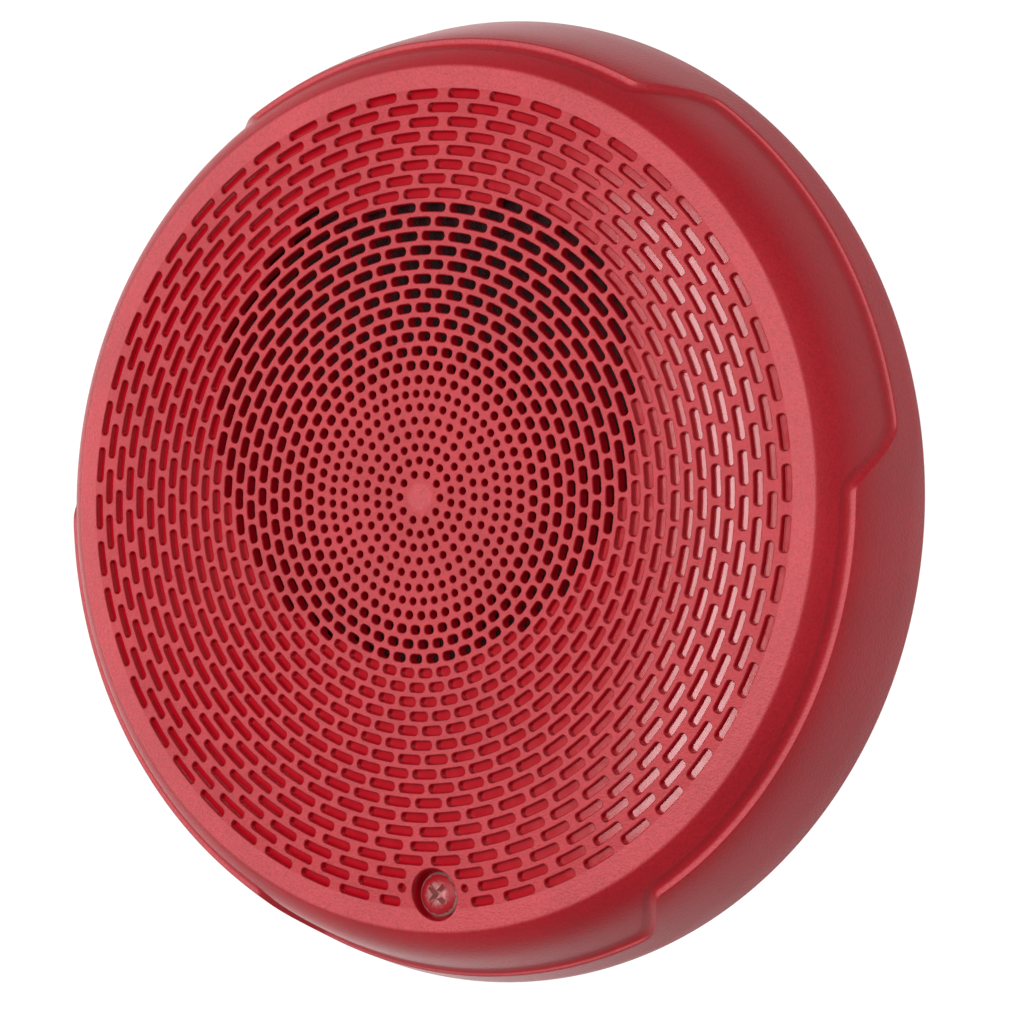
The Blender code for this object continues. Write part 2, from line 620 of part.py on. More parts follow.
def circuit_board():
    wide, high = BOARD_SIZE
    board = boxes(((-wide / 2, y_at(BOARD_FRONT), BOARD_Z - high / 2),
                   (wide / 2, y_at(BOARD_BACK), BOARD_Z + high / 2)))
    board = finish("circuit_board", board, GREEN_BOARD, smooth=False)
    for number, (x, z) in enumerate(board_posts(), 1):
        cut(board, rod(FIXING_R + GAP, y_at(BOARD_FRONT - MM), y_at(BOARD_BACK + MM), 12), (x, 0, z))
        fixing(f"board_screw_{number}", x, z, y_at(BOARD_BACK + GAP), BOARD_WALL + 5 * MM)
    # Matching transformer: a core with two windows, and the winding through them
    x, z = TRANSFORMER_X, TRANSFORMER_Z
    front, back = y_at(TRANSFORMER_FRONT), y_at(TRANSFORMER_BACK)
    wide, high = CORE_HALF
    core = boxes(((x - wide, front, z - high), (x + wide, back, z + high)))
    core = finish("transformer_core", core, LAMINATE, smooth=False)
    middle, half = LIMB_HALF + CORE_WINDOW[0] / 2, CORE_WINDOW[0] / 2
    windows = [((x + side * middle - half, front - MM, z - CORE_WINDOW[1] / 2),
                (x + side * middle + half, back + MM, z + CORE_WINDOW[1] / 2)) for side in (-1, 1)]
    cut(core, boxes(*windows))
    wide, high = LIMB_HALF + CORE_WINDOW[0] - GAP, CORE_WINDOW[1] / 2 - GAP
    winding = boxes(((x - wide, front - WINDING_WALL, z - high), (x + wide, back + WINDING_WALL, z + high)))
    winding = finish("transformer_winding", winding, YELLOW_TAPE, smooth=False)
    wide = LIMB_HALF + GAP
    cut(winding, boxes(((x - wide, front - GAP, z - 2 * high), (x + wide, back + GAP, z + 2 * high))))
    # Blocking capacitor that stands on the board, with the groove rolled in near its foot
    foot = y_at(BOARD_FRONT) - GAP
    top = foot - CAPACITOR_HEIGHT
    radius = CAPACITOR_R
    can = lathe([(0, top), (radius - 0.5 * MM, top), (radius, top + 0.5 * MM), (radius, foot - 2.6 * MM),
                 (radius - 0.4 * MM, foot - 2.1 * MM), (radius, foot - 1.6 * MM), (radius, foot),
                 (0, foot)], 24)
    finish("blocking_capacitor", can, CAPACITOR, location=(CAPACITOR_X, 0, CAPACITOR_Z))
    # Power selector: a rotary switch that is set from behind
    low, high = y_at(BOARD_BACK) + GAP, y_at(REAR_FRONT) - 0.4 * MM
    end = y_at(REAR_BACK) - 0.2 * MM
    at = (SELECTOR_X, 0, SELECTOR_Z)
    half = SELECTOR_HALF
    body = boxes(((SELECTOR_X - half, low, SELECTOR_Z - half), (SELECTOR_X + half, high, SELECTOR_Z + half)))
    body = finish("power_selector_body", body, BLUE_PLASTIC, smooth=False)
    cut(body, rod(KNOB_R, high - SELECTOR_WELL, high + MM, 24), at)
    knob = rod(KNOB_R - GAP, high - SELECTOR_WELL + GAP, end, 24)
    knob = finish("power_selector_knob", knob, WHITE_PLASTIC, location=at)
    slot = boxes(((-KNOB_SLOT / 2, end - KNOB_SLOT, -2 * KNOB_R), (KNOB_SLOT / 2, end + MM, 2 * KNOB_R)))
    cut(knob, slot, at)
    # Voltage selector: a two-position slide switch
    x = -SELECTOR_X
    body = boxes(((x - SLIDE_SWITCH_HALF, low, SELECTOR_Z - SLIDE_SWITCH_HALF_HEIGHT),
                  (x + SLIDER_TRAVEL + SLIDE_SWITCH_HALF, high, SELECTOR_Z + SLIDE_SWITCH_HALF_HEIGHT)))
    body = finish("voltage_selector_body", body, DARK_PLASTIC, smooth=False)
    wide, tall = SLIDER_SIZE[0] / 2, SLIDER_SIZE[1] / 2
    cut(body, boxes(((x - wide - GAP, high - SELECTOR_WELL, SELECTOR_Z - tall - GAP),
                     (x + SLIDER_TRAVEL + wide + GAP, high + MM, SELECTOR_Z + tall + GAP))))
    tab = boxes(((-wide, high - SELECTOR_WELL + GAP, -tall), (wide, end, tall)))
    finish("voltage_selector_slider", tab, WHITE_PLASTIC, location=(x, 0, SELECTOR_Z), smooth=False)
    # Plug pins
    for number in range(CELLS):
        pin = boxes(((-PIN_SIZE[0] / 2, y_at(BOARD_BACK) + GAP, -PIN_SIZE[1] / 2),
                     (PIN_SIZE[0] / 2, PIN_REACH, PIN_SIZE[1] / 2)))
        finish(f"plug_pin_{number + 1}", pin, BRASS, location=(cell_x(number), 0, PIN_Z), smooth=False)


def lead(name, points, finish_material):
    """An insulated lead along a smooth curve through hand-picked points."""
    curve = bpy.data.curves.new(name, "CURVE")
    curve.dimensions = "3D"
    curve.bevel_depth = LEAD_R
    curve.bevel_resolution = 2
    curve.use_fill_caps = True
    steps = 3
    line = []
    for k in range(len(points) - 1):
        nearby = [max(0, min(len(points) - 1, k + j)) for j in (-1, 0, 1, 2)]
        before, start, end, after = (Vector(points[i]) for i in nearby)
        for s in range(steps):
            t = s / steps
            line.append(0.5 * (2 * start + (end - before) * t
                               + (2 * before - 5 * start + 4 * end - after) * t ** 2
                               + (3 * start - before - 3 * end + after) * t ** 3))
    line.append(Vector(points[-1]))
    spline = curve.splines.new("POLY")
    spline.points.add(len(line) - 1)
    for point, place in zip(spline.points, line):
        point.co = (*place, 1.0)
    thing = bpy.data.objects.new(name, curve)
    bpy.context.collection.objects.link(thing)
    curve.materials.append(finish_material)


def speaker_leads():
    """Two leads from the tags to the board, straight out of each and bowed between them."""
    start_y = y_at(TAG_DEPTH + TAG_WALL) + GAP
    end_y = y_at(BOARD_FRONT) - GAP
    for name, side, colour in (("speaker_lead_positive", -1, RED_WIRE),
                               ("speaker_lead_negative", 1, BLACK_WIRE)):
        x = TAG_X + side * TAG_SIZE[0] / 4
        end_x = x + LEAD_SLANT
        lead(name, [(x, start_y, TAG_Z), (x, start_y + 1.3 * MM, TAG_Z - 0.7 * MM),
                    (x + 0.6 * LEAD_SLANT, (start_y + end_y) / 2, TAG_Z - 0.4 * LEAD_DROP),
                    (end_x, end_y - 2.2 * MM, TAG_Z - 0.75 * LEAD_DROP),
                    (end_x, end_y - 1.1 * MM, TAG_Z - 0.96 * LEAD_DROP),
                    (end_x, end_y, TAG_Z - LEAD_DROP)], colour)


# ---------------------------------------------------------------- captive screw

def captive_screw():
    seat = y_at(SCREW_SEAT) - GAP
    top = seat - SCREW_HEAD
    tip = -0.5 * MM
    rounded = [(share * SCREW_HEAD_R, top + drop * SCREW_HEAD)
               for share, drop in ((0.0, 0.0), (0.55, 0.075), (0.9, 0.35), (1.0, 0.6))]
    screw = lathe(rounded + [(SCREW_HEAD_R, seat), (SCREW_R, seat), (SCREW_R, tip - MM), (SCREW_R * 0.6, tip),
                             (0, tip)], 24)
    screw = finish("captive_screw", screw, SCREW_RED, location=(0, 0, SCREW_Z))
    arm, half = CROSS_ARM, CROSS_HALF_WIDTH
    deep = top + CROSS_DEPTH
    cut(screw, boxes(((-arm, top - MM, -half), (arm, deep, half))), (0, 0, SCREW_Z))
    cut(screw, boxes(((-half, top - MM, -arm), (half, deep - 0.01 * MM, arm))), (0, 0, SCREW_Z))
    bore, end = SCREW_R + 0.2 * MM, y_at(TUBE_END) - 0.2 * MM
    clip = lathe([(bore, end - CLIP_WALL), (CLIP_R, end - CLIP_WALL), (CLIP_R, end), (bore, end)], 24)
    finish("screw_retainer", clip, ZINC, location=(0, 0, SCREW_Z))


# ---------------------------------------------------------------- wall side

def mounting_plate():
    back, front = 0.0, -PLATE_WALL
    rim = PLATE_R - PLATE_RIM_WALL
    profile = [(0, back), (PLATE_R, back), (PLATE_R, front - PLATE_RIM), (rim, front - PLATE_RIM),
               (rim, front), (0, front)]
    plate = finish("mounting_plate", lathe(profile, FINE), DARK_PLASTIC)
    # Ears that reach out to the hooks at the top and to the screw boss at the bottom
    wide = HOOK_X + HOOK_WIDTH / 2 + EAR_MARGIN
    join(plate, boxes(((-wide, front + GAP / 2, rim / 2), (wide, back, HOOK_Z + HOOK_WALL + EAR_MARGIN))))
    wide = BOSS_R + EAR_MARGIN
    join(plate, boxes(((-wide, front + GAP / 2, SCREW_Z - wide), (wide, back, -rim / 2))))
    join(plate, rod(BOSS_R, back - 1.0 * MM, -BOSS, 24), (0, 0, SCREW_Z))
    for side in (-1, 1):
        x = side * HOOK_X
        half = HOOK_WIDTH / 2
        stem = boxes(((x - half, -HOOK_REACH, HOOK_Z), (x + half, -1.0 * MM, HOOK_Z + HOOK_WALL)))
        join(plate, stem)
        lip = boxes(((x - half, -HOOK_REACH - 0.01 * MM, HOOK_Z + HOOK_WALL - MM),
                     (x + half, -HOOK_REACH + HOOK_LIP_WALL, HOOK_Z + HOOK_WALL + HOOK_LIP)))
        join(plate, lip)
    deep = (front - 5 * MM, back + MM)
    cut(plate, rod(MAGNET_R + MAGNET_CLEARANCE, *deep, ROUND), (0, 0, SPEAKER_Z))
    cut(plate, rod(SCREW_R + SCREW_CLEARANCE / 2, -BOSS - MM, back + MM), (0, 0, SCREW_Z))
    wide = BLOCK_WIDTH / 2 + BLOCK_CLEARANCE
    high = BLOCK_HEIGHT / 2 + BLOCK_CLEARANCE
    openings = [((-wide, deep[0], BLOCK_Z - high), (wide, deep[1], BLOCK_Z + high))]
    half = BOX_SLOT_WIDTH / 2
    for x, z, length in box_slots():
        openings.append(((x - length / 2, deep[0], z - half), (x + length / 2, deep[1], z + half)))
    cut(plate, boxes(*openings))


def box_slots():
    """Slots for the screws of the wall box: centre X, centre Z, length."""
    slots = []
    for side in (-1, 1):
        slots += [(side * SIDE_SLOT_X, z, SIDE_SLOT_LENGTH) for z in (-SIDE_SLOT_Z, SIDE_SLOT_Z)]
        slots.append((side * LOW_SLOT_X, LOW_SLOT_Z, LOW_SLOT_LENGTH))
    return slots


def terminal_block():
    front, back = -BLOCK_FRONT, -BLOCK_FRONT + BLOCK_DEPTH
    half = BLOCK_WIDTH / 2
    block = boxes(((-half, front, BLOCK_Z - BLOCK_HEIGHT / 2), (half, back, BLOCK_Z + BLOCK_HEIGHT / 2)))
    block = finish("terminal_block", block, BLACK_PLASTIC, smooth=False)
    top = BLOCK_Z + BLOCK_HEIGHT / 2 - BLOCK_TOP_WALL
    floor = front + CELL_DEPTH
    cells = []
    for number in range(CELLS):
        x = cell_x(number)
        cells.append(((x - CELL_WIDTH / 2, front - MM, BLOCK_Z - BLOCK_HEIGHT / 2 - MM),
                      (x + CELL_WIDTH / 2, floor, top)))
    cut(block, boxes(*cells))
    for number in range(CELLS):
        cut(block, rod(CLAMP_SCREW_R + GAP, floor - MM, back - 1.2 * MM, 12), (cell_x(number), 0, CLAMP_Z))
        contact_and_clamp(number, front, floor, back)


def contact_and_clamp(number, front, floor, back):
    """What one cell holds: the contact, and the clamp plate and screw that close on a wire."""
    x = cell_x(number)
    half = CLAMP_SIZE / 2
    contact_front = floor - GAP - CONTACT_WALL
    contact = boxes(((-half, contact_front, CLAMP_Z - half), (half, floor - GAP, PIN_Z + 3.0 * MM)))
    contact = finish(f"contact_{number + 1}", contact, BRASS, location=(x, 0, 0), smooth=False)
    near = PIN_SIZE[1] / 2 + BLADE_GAP
    for side in (-1, 1):
        low, high = sorted((side * near, side * (near + CONTACT_WALL)))
        blade = boxes(((-BLADE_WIDTH / 2, front + 0.5 * MM, PIN_Z + low),
                       (BLADE_WIDTH / 2, contact_front + CONTACT_WALL / 2, PIN_Z + high)))
        join(contact, blade, (x, 0, 0))
    wide, tall = PIN_HOLE[0] / 2, PIN_HOLE[1] / 2
    hole = boxes(((-wide, contact_front - 0.5 * MM, PIN_Z - tall), (wide, floor + MM, PIN_Z + tall)))
    cut(contact, hole, (x, 0, 0))
    cut(contact, rod(CLAMP_BORE_R, contact_front - MM, floor + MM, 12), (x, 0, CLAMP_Z))
    # An empty that slides out to open the wire gap carries the clamp and its screw
    clamp_back = contact_front - WIRE_GAP
    rest = bpy.data.objects.new(f"clamp_axis_{number + 1}", None)
    bpy.context.collection.objects.link(rest)
    rest.location = (x, clamp_back, CLAMP_Z)
    plate = boxes(((-half, -CLAMP_WALL, -half), (half, 0, half)))
    plate = finish(f"wire_clamp_{number + 1}", plate, ZINC, rest, rest.location, smooth=False)
    cut(plate, rod(CLAMP_BORE_R, -CLAMP_WALL - MM, MM, 12), rest.location)
    seat = -CLAMP_WALL - GAP
    tip = back - clamp_back - 1.6 * MM
    screw = lathe([(0, seat - CLAMP_HEAD), (CLAMP_HEAD_R - 0.5 * MM, seat - CLAMP_HEAD + 0.2 * MM),
                   (CLAMP_HEAD_R, seat - CLAMP_HEAD + 0.7 * MM), (CLAMP_HEAD_R, seat), (CLAMP_SCREW_R, seat),
                   (CLAMP_SCREW_R, tip - 0.6 * MM), (CLAMP_SCREW_R - 0.6 * MM, tip), (0, tip)], 12)
    screw = finish(f"terminal_screw_{number + 1}", screw, ZINC, rest, rest.location)
    half = CLAMP_SLOT / 2
    slot = boxes(((-2 * CLAMP_HEAD_R, seat - 2 * CLAMP_HEAD, -half),
                  (2 * CLAMP_HEAD_R, seat - CLAMP_SLOT, half)))
    cut(screw, slot, rest.location)


# ---------------------------------------------------------------- build

clear_scene()
PLAIN = material("helper", (0.5, 0.5, 0.5), 0.5)
RED = material("red_plastic", (0.55, 0.035, 0.05), 0.42)
SCREW_RED = material("red_painted_steel", (0.55, 0.04, 0.05), 0.35, 0.3)
DARK_PLASTIC = material("charcoal_plastic", (0.045, 0.045, 0.05), 0.5)
BLACK_PLASTIC = material("black_plastic", (0.02, 0.02, 0.022), 0.45)
BLUE_PLASTIC = material("blue_plastic", (0.03, 0.12, 0.4), 0.4)
WHITE_PLASTIC = material("white_plastic", (0.8, 0.8, 0.76), 0.4)
BLACK_CLOTH = material("black_cloth", (0.015, 0.013, 0.013), 0.95)
FOAM = material("foam", (0.05, 0.05, 0.05), 0.95)
RUBBER = material("coated_cloth", (0.03, 0.03, 0.03), 0.8)
CLOTH = material("phenolic_cloth", (0.5, 0.28, 0.08), 0.85)
PAPER = material("pressed_paper", (0.03, 0.03, 0.032), 0.9)
STEEL = material("plated_steel", (0.62, 0.61, 0.58), 0.35, 1.0)
ZINC = material("zinc", (0.7, 0.7, 0.68), 0.3, 1.0)
BRASS = material("tinned_brass", (0.78, 0.62, 0.32), 0.3, 1.0)
COPPER = material("enamelled_copper", (0.65, 0.28, 0.12), 0.35, 1.0)
FERRITE = material("ferrite", (0.06, 0.06, 0.065), 0.65)
LAMINATE = material("laminated_steel", (0.3, 0.3, 0.31), 0.45, 0.9)
YELLOW_TAPE = material("yellow_tape", (0.75, 0.55, 0.08), 0.45)
CAPACITOR = material("capacitor_sleeve", (0.02, 0.03, 0.1), 0.35)
GREEN_BOARD = material("green_laminate", (0.02, 0.18, 0.07), 0.4)
TAN_BOARD = material("tan_laminate", (0.45, 0.3, 0.14), 0.6)
RED_WIRE = material("red_insulation", (0.6, 0.03, 0.03), 0.45)
BLACK_WIRE = material("black_insulation", (0.02, 0.02, 0.02), 0.45)

front_cover()
finish("housing_ring", turned(ring_profile, FINE), RED)
dust_screen()
rear_cover()
loudspeaker()
circuit_board()
speaker_leads()
captive_screw()
mounting_plate()
terminal_block()
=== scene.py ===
"""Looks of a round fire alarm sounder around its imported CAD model. Blender 4.5, metres, +Z up.

The face looks along -Y and the wall is the plane Y = 0. Depths are counted backwards from the hub, the
foremost point of the face, and angles go clockwise from the top as seen from the front.
"""

import json
from math import atan2, cos, degrees, exp, hypot, pi, radians, sin, sqrt

import bmesh
import bpy
import numpy as np
from mathutils import Matrix, Vector
from mathutils.geometry import delaunay_2d_cdt

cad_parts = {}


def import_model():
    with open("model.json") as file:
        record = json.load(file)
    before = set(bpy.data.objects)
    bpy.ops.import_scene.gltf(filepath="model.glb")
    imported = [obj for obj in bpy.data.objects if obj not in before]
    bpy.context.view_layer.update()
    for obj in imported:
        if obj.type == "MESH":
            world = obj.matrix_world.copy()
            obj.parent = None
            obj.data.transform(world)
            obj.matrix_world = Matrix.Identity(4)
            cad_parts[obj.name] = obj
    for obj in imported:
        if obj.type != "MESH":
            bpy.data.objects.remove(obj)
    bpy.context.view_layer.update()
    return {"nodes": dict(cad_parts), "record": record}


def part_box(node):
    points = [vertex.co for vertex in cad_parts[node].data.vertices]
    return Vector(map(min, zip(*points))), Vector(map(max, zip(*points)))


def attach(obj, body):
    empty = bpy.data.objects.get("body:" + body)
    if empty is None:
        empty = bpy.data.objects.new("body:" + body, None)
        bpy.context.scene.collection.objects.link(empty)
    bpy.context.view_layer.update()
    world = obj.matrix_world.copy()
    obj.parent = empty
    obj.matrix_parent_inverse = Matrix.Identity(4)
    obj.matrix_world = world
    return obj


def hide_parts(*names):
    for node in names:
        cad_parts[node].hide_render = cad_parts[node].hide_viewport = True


MM = 0.001

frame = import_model()

# ---------------------------------------------------------------- sizes shared with the CAD model

OUTER_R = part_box("housing_ring")[1][0]
DEPTH = -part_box("front_cover")[0][1]
GAP = 0.3 * MM
SIDE_FLARE = 9.9 * MM
FACE_R = OUTER_R - SIDE_FLARE
RIM_DROP = 4.2 * MM
DOME_POWER = 4.3
WALL_GAP = 0.7 * MM
FACE_WALL = 2.2 * MM
SIDE_WALL = 1.3 * MM
STEP_WIDTH = 1.0 * MM
STEP_INSET = 1.3 * MM
STEP_SLOPE = 1.7 * MM
SHOULDER = 3.95 * MM
SHOULDER_LENGTH = 3.2 * MM
RING_EDGE_R = 1.2 * MM
LOBES = 3
LOBE_ANGLE = 60.0
LOBE_HALF_WIDTH = 26.7
LOBE_BLEND = 9.0
SHALLOW_STEP = 7.0 * MM
DEEP_STEP = 17.4 * MM
COVER_BACK_GAP = 3.0 * MM
WIDEST_DEPTH = DEPTH - WALL_GAP - RING_EDGE_R
SIDE_SLOPE = (SIDE_FLARE - SHOULDER - STEP_WIDTH) / (WIDEST_DEPTH - RIM_DROP)
REAR_BACK = DEPTH - COVER_BACK_GAP

# Grille: rows of openings around the hub. The inner rows are round holes, the outer ones are slots.
INNER_COUNTS = (10, 18, 24, 28, 34, 42, 52)     # openings in the inner rows
INNER_PHASES = (20.9, 20.1, 9.5, 1.4, 6.8, 9.9, 5.5)   # degrees, first opening of each inner row
INNER_R = 4.16 * MM                 # first row
INNER_PITCH = 2.36 * MM
ROW_COUNT = 52                      # openings in every outer row
OUTER_ROWS = 21
OUTER_ROW_R = 20.79 * MM            # first outer row
OUTER_PITCH = 2.54 * MM
OUTER_PHASE = 7.13                  # degrees, first outer row
ROW_SHIFT = 0.456                   # each row is turned by this share of the angle between two slots
LATE_ROW = 16                       # from this outer row on, each is turned back by a further share
LATE_SHIFT = 0.17
HOLE_R = 0.62 * MM
SLOT_HALF_WIDTH = 0.75 * MM
SLOT_WEB = 1.06 * MM                # between two slots of a row
LAST_WEB = 2.4 * MM                 # the web grows over the last rows to this
WEB_GROWTH_R = 52.0 * MM            # from this radius on
CORNER_R = 0.6 * MM                 # corners of a slot
EDGE_ROUND = 0.26 * MM              # rounded edge of each opening
BLIND_DEPTH = 1.15 * MM
HUB_R = 2.0 * MM
LAST_ROW_R = OUTER_ROW_R + (OUTER_ROWS - 1) * OUTER_PITCH
RING_START_R = LAST_ROW_R + SLOT_HALF_WIDTH + 0.2 * MM     # the face's plain ring is outside this radius
SPEAKER_Z = 15.0 * MM               # the openings in front of the loudspeaker go right through
SOUND_R = 43.7 * MM
SOUND_TOP = 51.5 * MM

# Fixing screw in its recess
SCREW_Z = -69.9 * MM
RECESS_R = 4.6 * MM
RECESS_DEPTH = 2.9 * MM
SLOT_CLEARANCE = 1.2 * MM           # from the screw's recess to the slots beside it
OUTSIDE_CLEARANCE = 2.9 * MM        # and to those of the outermost row
DIMPLE_R = 0.4 * MM                 # the shortest stub of a slot that is left beside it
BORE_R = 2.0 * MM                   # hole for the screw's shank
SEAT_THICKNESS = 2.0 * MM           # floor of the recess
TUBE_BORE_R = 4.2 * MM              # tube behind the recess
TUBE_R = 5.6 * MM
TUBE_END = 17.0 * MM                # depth at which it ends

# The screw itself
HEAD_ARC = 72                       # degrees of the head's domed top
HEAD_RISE = 1.15 * MM               # height of that dome
HEAD_EDGE = 1.45 * MM               # from the top to the full width
HEAD_TOP_SHARE = 0.97               # radius at the end of the dome, as a share of the head's
HEAD_CHAMFER = 0.12 * MM
SHANK_R = 1.8 * MM
POINT_R = 1.1 * MM
POINT_LENGTH = 1.0 * MM
CROSS_TURN = -45                    # degrees
CROSS_TOP = (2.6 * MM, 0.58 * MM)   # half length and half width of an arm, above the head
CROSS_BOTTOM = (1.1 * MM, 0.32 * MM)
CROSS_START = 0.3 * MM              # how far above the head's top the cutter starts
CROSS_DEPTH = 1.75 * MM
CROSS_ROUND = 0.1 * MM

ROUND = 720                         # segments of the large shells
SCREW_ROUND = 64                    # and of the screw and its recess
FACE_GUIDES = ((72.9 * MM, 240), (73.9 * MM, 240), (74.8 * MM, 240))    # rings of extra points in the face,
BACK_GUIDES = ((50 * MM, 90), (60 * MM, 90), (68 * MM, 90))             # and in its back: radius and count
HUB_GUIDE = (2.4 * MM, 12)
INNER_WALL_DEPTHS = (18 * MM, 12 * MM)      # two more rings of points inside the side wall
LATTICE_EDGE_R = FACE_R - 1.2 * MM  # the perforated part of the face ends here
RIM_ROUND = 0.45 * MM
SEAM = 0.1 * MM                     # seen between the cover and the ring
BROW_ROUND = 0.25 * MM              # edge of the ring in front of the step
LIP = 0.25 * MM                     # lip of the ring at the step's inner edge
COVE_TURN = (0.22, 0.97)            # where the cove between lip and brow bends, as shares of width and depth
INNER_RIM_R = FACE_R - 0.9 * MM     # the face's back ends here


def y_at(depth):
    return depth - DEPTH


def face_depth(radius):
    return RIM_DROP * (radius / FACE_R) ** DOME_POWER


def dome_depth(x, z):
    return face_depth(hypot(x, z))


def face_slope(radius):
    return RIM_DROP * DOME_POWER * radius ** (DOME_POWER - 1) / FACE_R ** DOME_POWER


def face_normal(x, z):
    """Unit normal of the domed face, which looks towards -Y."""
    radius = hypot(x, z)
    slope = face_slope(radius)
    length = sqrt(1 + slope * slope)
    if radius < 1e-9:
        return (0.0, -1.0, 0.0)
    return (slope * x / radius / length, -1 / length, slope * z / radius / length)


def bend(start, turn_at, end, share):
    """A point of the curve from start to end that heads for turn_at at both ends."""
    return tuple((1 - share) ** 2 * a + 2 * share * (1 - share) * b + share * share * c
                 for a, b, c in zip(start, turn_at, end))


def side_r(depth):
    behind = max(0.0, depth - RIM_DROP)
    return FACE_R + SHOULDER * (1 - exp(-behind / SHOULDER_LENGTH)) + SIDE_SLOPE * behind


def step_share(angle):
    sector = 360.0 / LOBES
    away = abs((degrees(angle) - LOBE_ANGLE + sector / 2) % sector - sector / 2)
    return min(1.0, max(0.0, (LOBE_HALF_WIDTH - away) / LOBE_BLEND + 0.5))


def step_depth(angle):
    share = step_share(angle)
    return SHALLOW_STEP + (DEEP_STEP - SHALLOW_STEP) * share * share * (3 - 2 * share)


def step_stretch(angle):
    """How much longer the step's slope is, measured along the axis, where its line runs aslant."""
    share = step_share(angle)
    rise = (DEEP_STEP - SHALLOW_STEP) * 6 * share * (1 - share)
    return sqrt(1 + (rise / (radians(LOBE_BLEND) * OUTER_R)) ** 2)


# ---------------------------------------------------------------- mesh tools

GRAINED, SMOOTH = 0, 1              # material indices of the cover


class Shell:
    """Points and faces of one mesh, with a material index and, where given, a normal for each corner."""

    def __init__(self):
        self.points = []
        self.faces = []
        self.kinds = []
        self.normals = {}

    def add(self, x, y, z):
        self.points.append((x, y, z))
        return len(self.points) - 1

    def face(self, corners, kind=GRAINED, normals=None):
        if normals:
            self.normals[len(self.faces)] = normals
        self.faces.append(tuple(corners))
        self.kinds.append(kind)

    def band(self, first, second, kind=GRAINED, first_normals=None, second_normals=None):
        """Quads between two closed loops of the same number of points."""
        count = len(first)
        for i in range(count):
            j = (i + 1) % count
            normals = None
            if first_normals:
                normals = (first_normals[i], first_normals[j], second_normals[j], second_normals[i])
            self.face((first[i], first[j], second[j], second[i]), kind, normals)

    def build(self, name, materials, smooth_angle=32.0):
        """The object: faces turned outwards, sharp edges by angle, and the given normals on top."""
        mesh = bpy.data.meshes.new(name)
        mesh.from_pydata(self.points, [], self.faces)
        for made in materials:
            mesh.materials.append(made)
        mesh.polygons.foreach_set("material_index", self.kinds)
        bm = bmesh.new()
        bm.from_mesh(mesh)
        bmesh.ops.recalc_face_normals(bm, faces=bm.faces)
        bm.to_mesh(mesh)
        bm.free()
        mesh.shade_smooth()
        mesh.set_sharp_from_angle(angle=radians(smooth_angle))
        if self.normals:
            found = np.empty(len(mesh.loops) * 3, np.float32)
            mesh.corner_normals.foreach_get("vector", found)
            found = found.reshape(-1, 3)
            corner_points = np.empty(len(mesh.loops), np.int32)
            mesh.loops.foreach_get("vertex_index", corner_points)
            for number, normals in self.normals.items():
                at_point = dict(zip(self.faces[number], normals))
                start = mesh.polygons[number].loop_start
                for corner in range(start, start + len(normals)):
                    found[corner] = at_point[corner_points[corner]]
            mesh.normals_split_custom_set(found.tolist())
        thing = bpy.data.objects.new(name, mesh)
        bpy.context.collection.objects.link(thing)
        return thing


def thing_of(bm, name):
    """A linked object with the bmesh's faces, turned outwards; the bmesh is freed."""
    bmesh.ops.recalc_face_normals(bm, faces=bm.faces)
    mesh = bpy.data.meshes.new(name)
    bm.to_mesh(mesh)
    bm.free()
    thing = bpy.data.objects.new(name, mesh)
    bpy.context.collection.objects.link(thing)
    return thing


def ring_of(shell, station):
    """A closed ring of points; station(angle) gives its radius and depth."""
    loop = []
    for step in range(ROUND):
        angle = 2 * pi * step / ROUND
        radius, depth = station(angle)
        loop.append(shell.add(radius * sin(angle), y_at(depth), radius * cos(angle)))
    return loop


# ---------------------------------------------------------------- grille

def slot_rows():
    """Each row of openings: radius, count, angle of the first one, half length and half width."""
    rows = []
    for number, (count, phase) in enumerate(zip(INNER_COUNTS, INNER_PHASES)):
        rows.append((INNER_R + number * INNER_PITCH, count, radians(phase), HOLE_R, HOLE_R))
    pitch_angle = 2 * pi / ROW_COUNT
    for number in range(OUTER_ROWS):
        radius = OUTER_ROW_R + number * OUTER_PITCH
        pitch = pitch_angle * radius
        growth = max(0.0, (radius - WEB_GROWTH_R) / (LAST_ROW_R - WEB_GROWTH_R))
        half_length = (pitch - SLOT_WEB - (LAST_WEB - SLOT_WEB) * growth) / 2
        half_width = min(SLOT_HALF_WIDTH, half_length)
        turned = ROW_SHIFT * number - (LATE_SHIFT if number >= LATE_ROW else 0.0)
        angle = radians(OUTER_PHASE) + pitch_angle * turned
        rows.append((radius, ROW_COUNT, angle, half_length, half_width))
    return rows


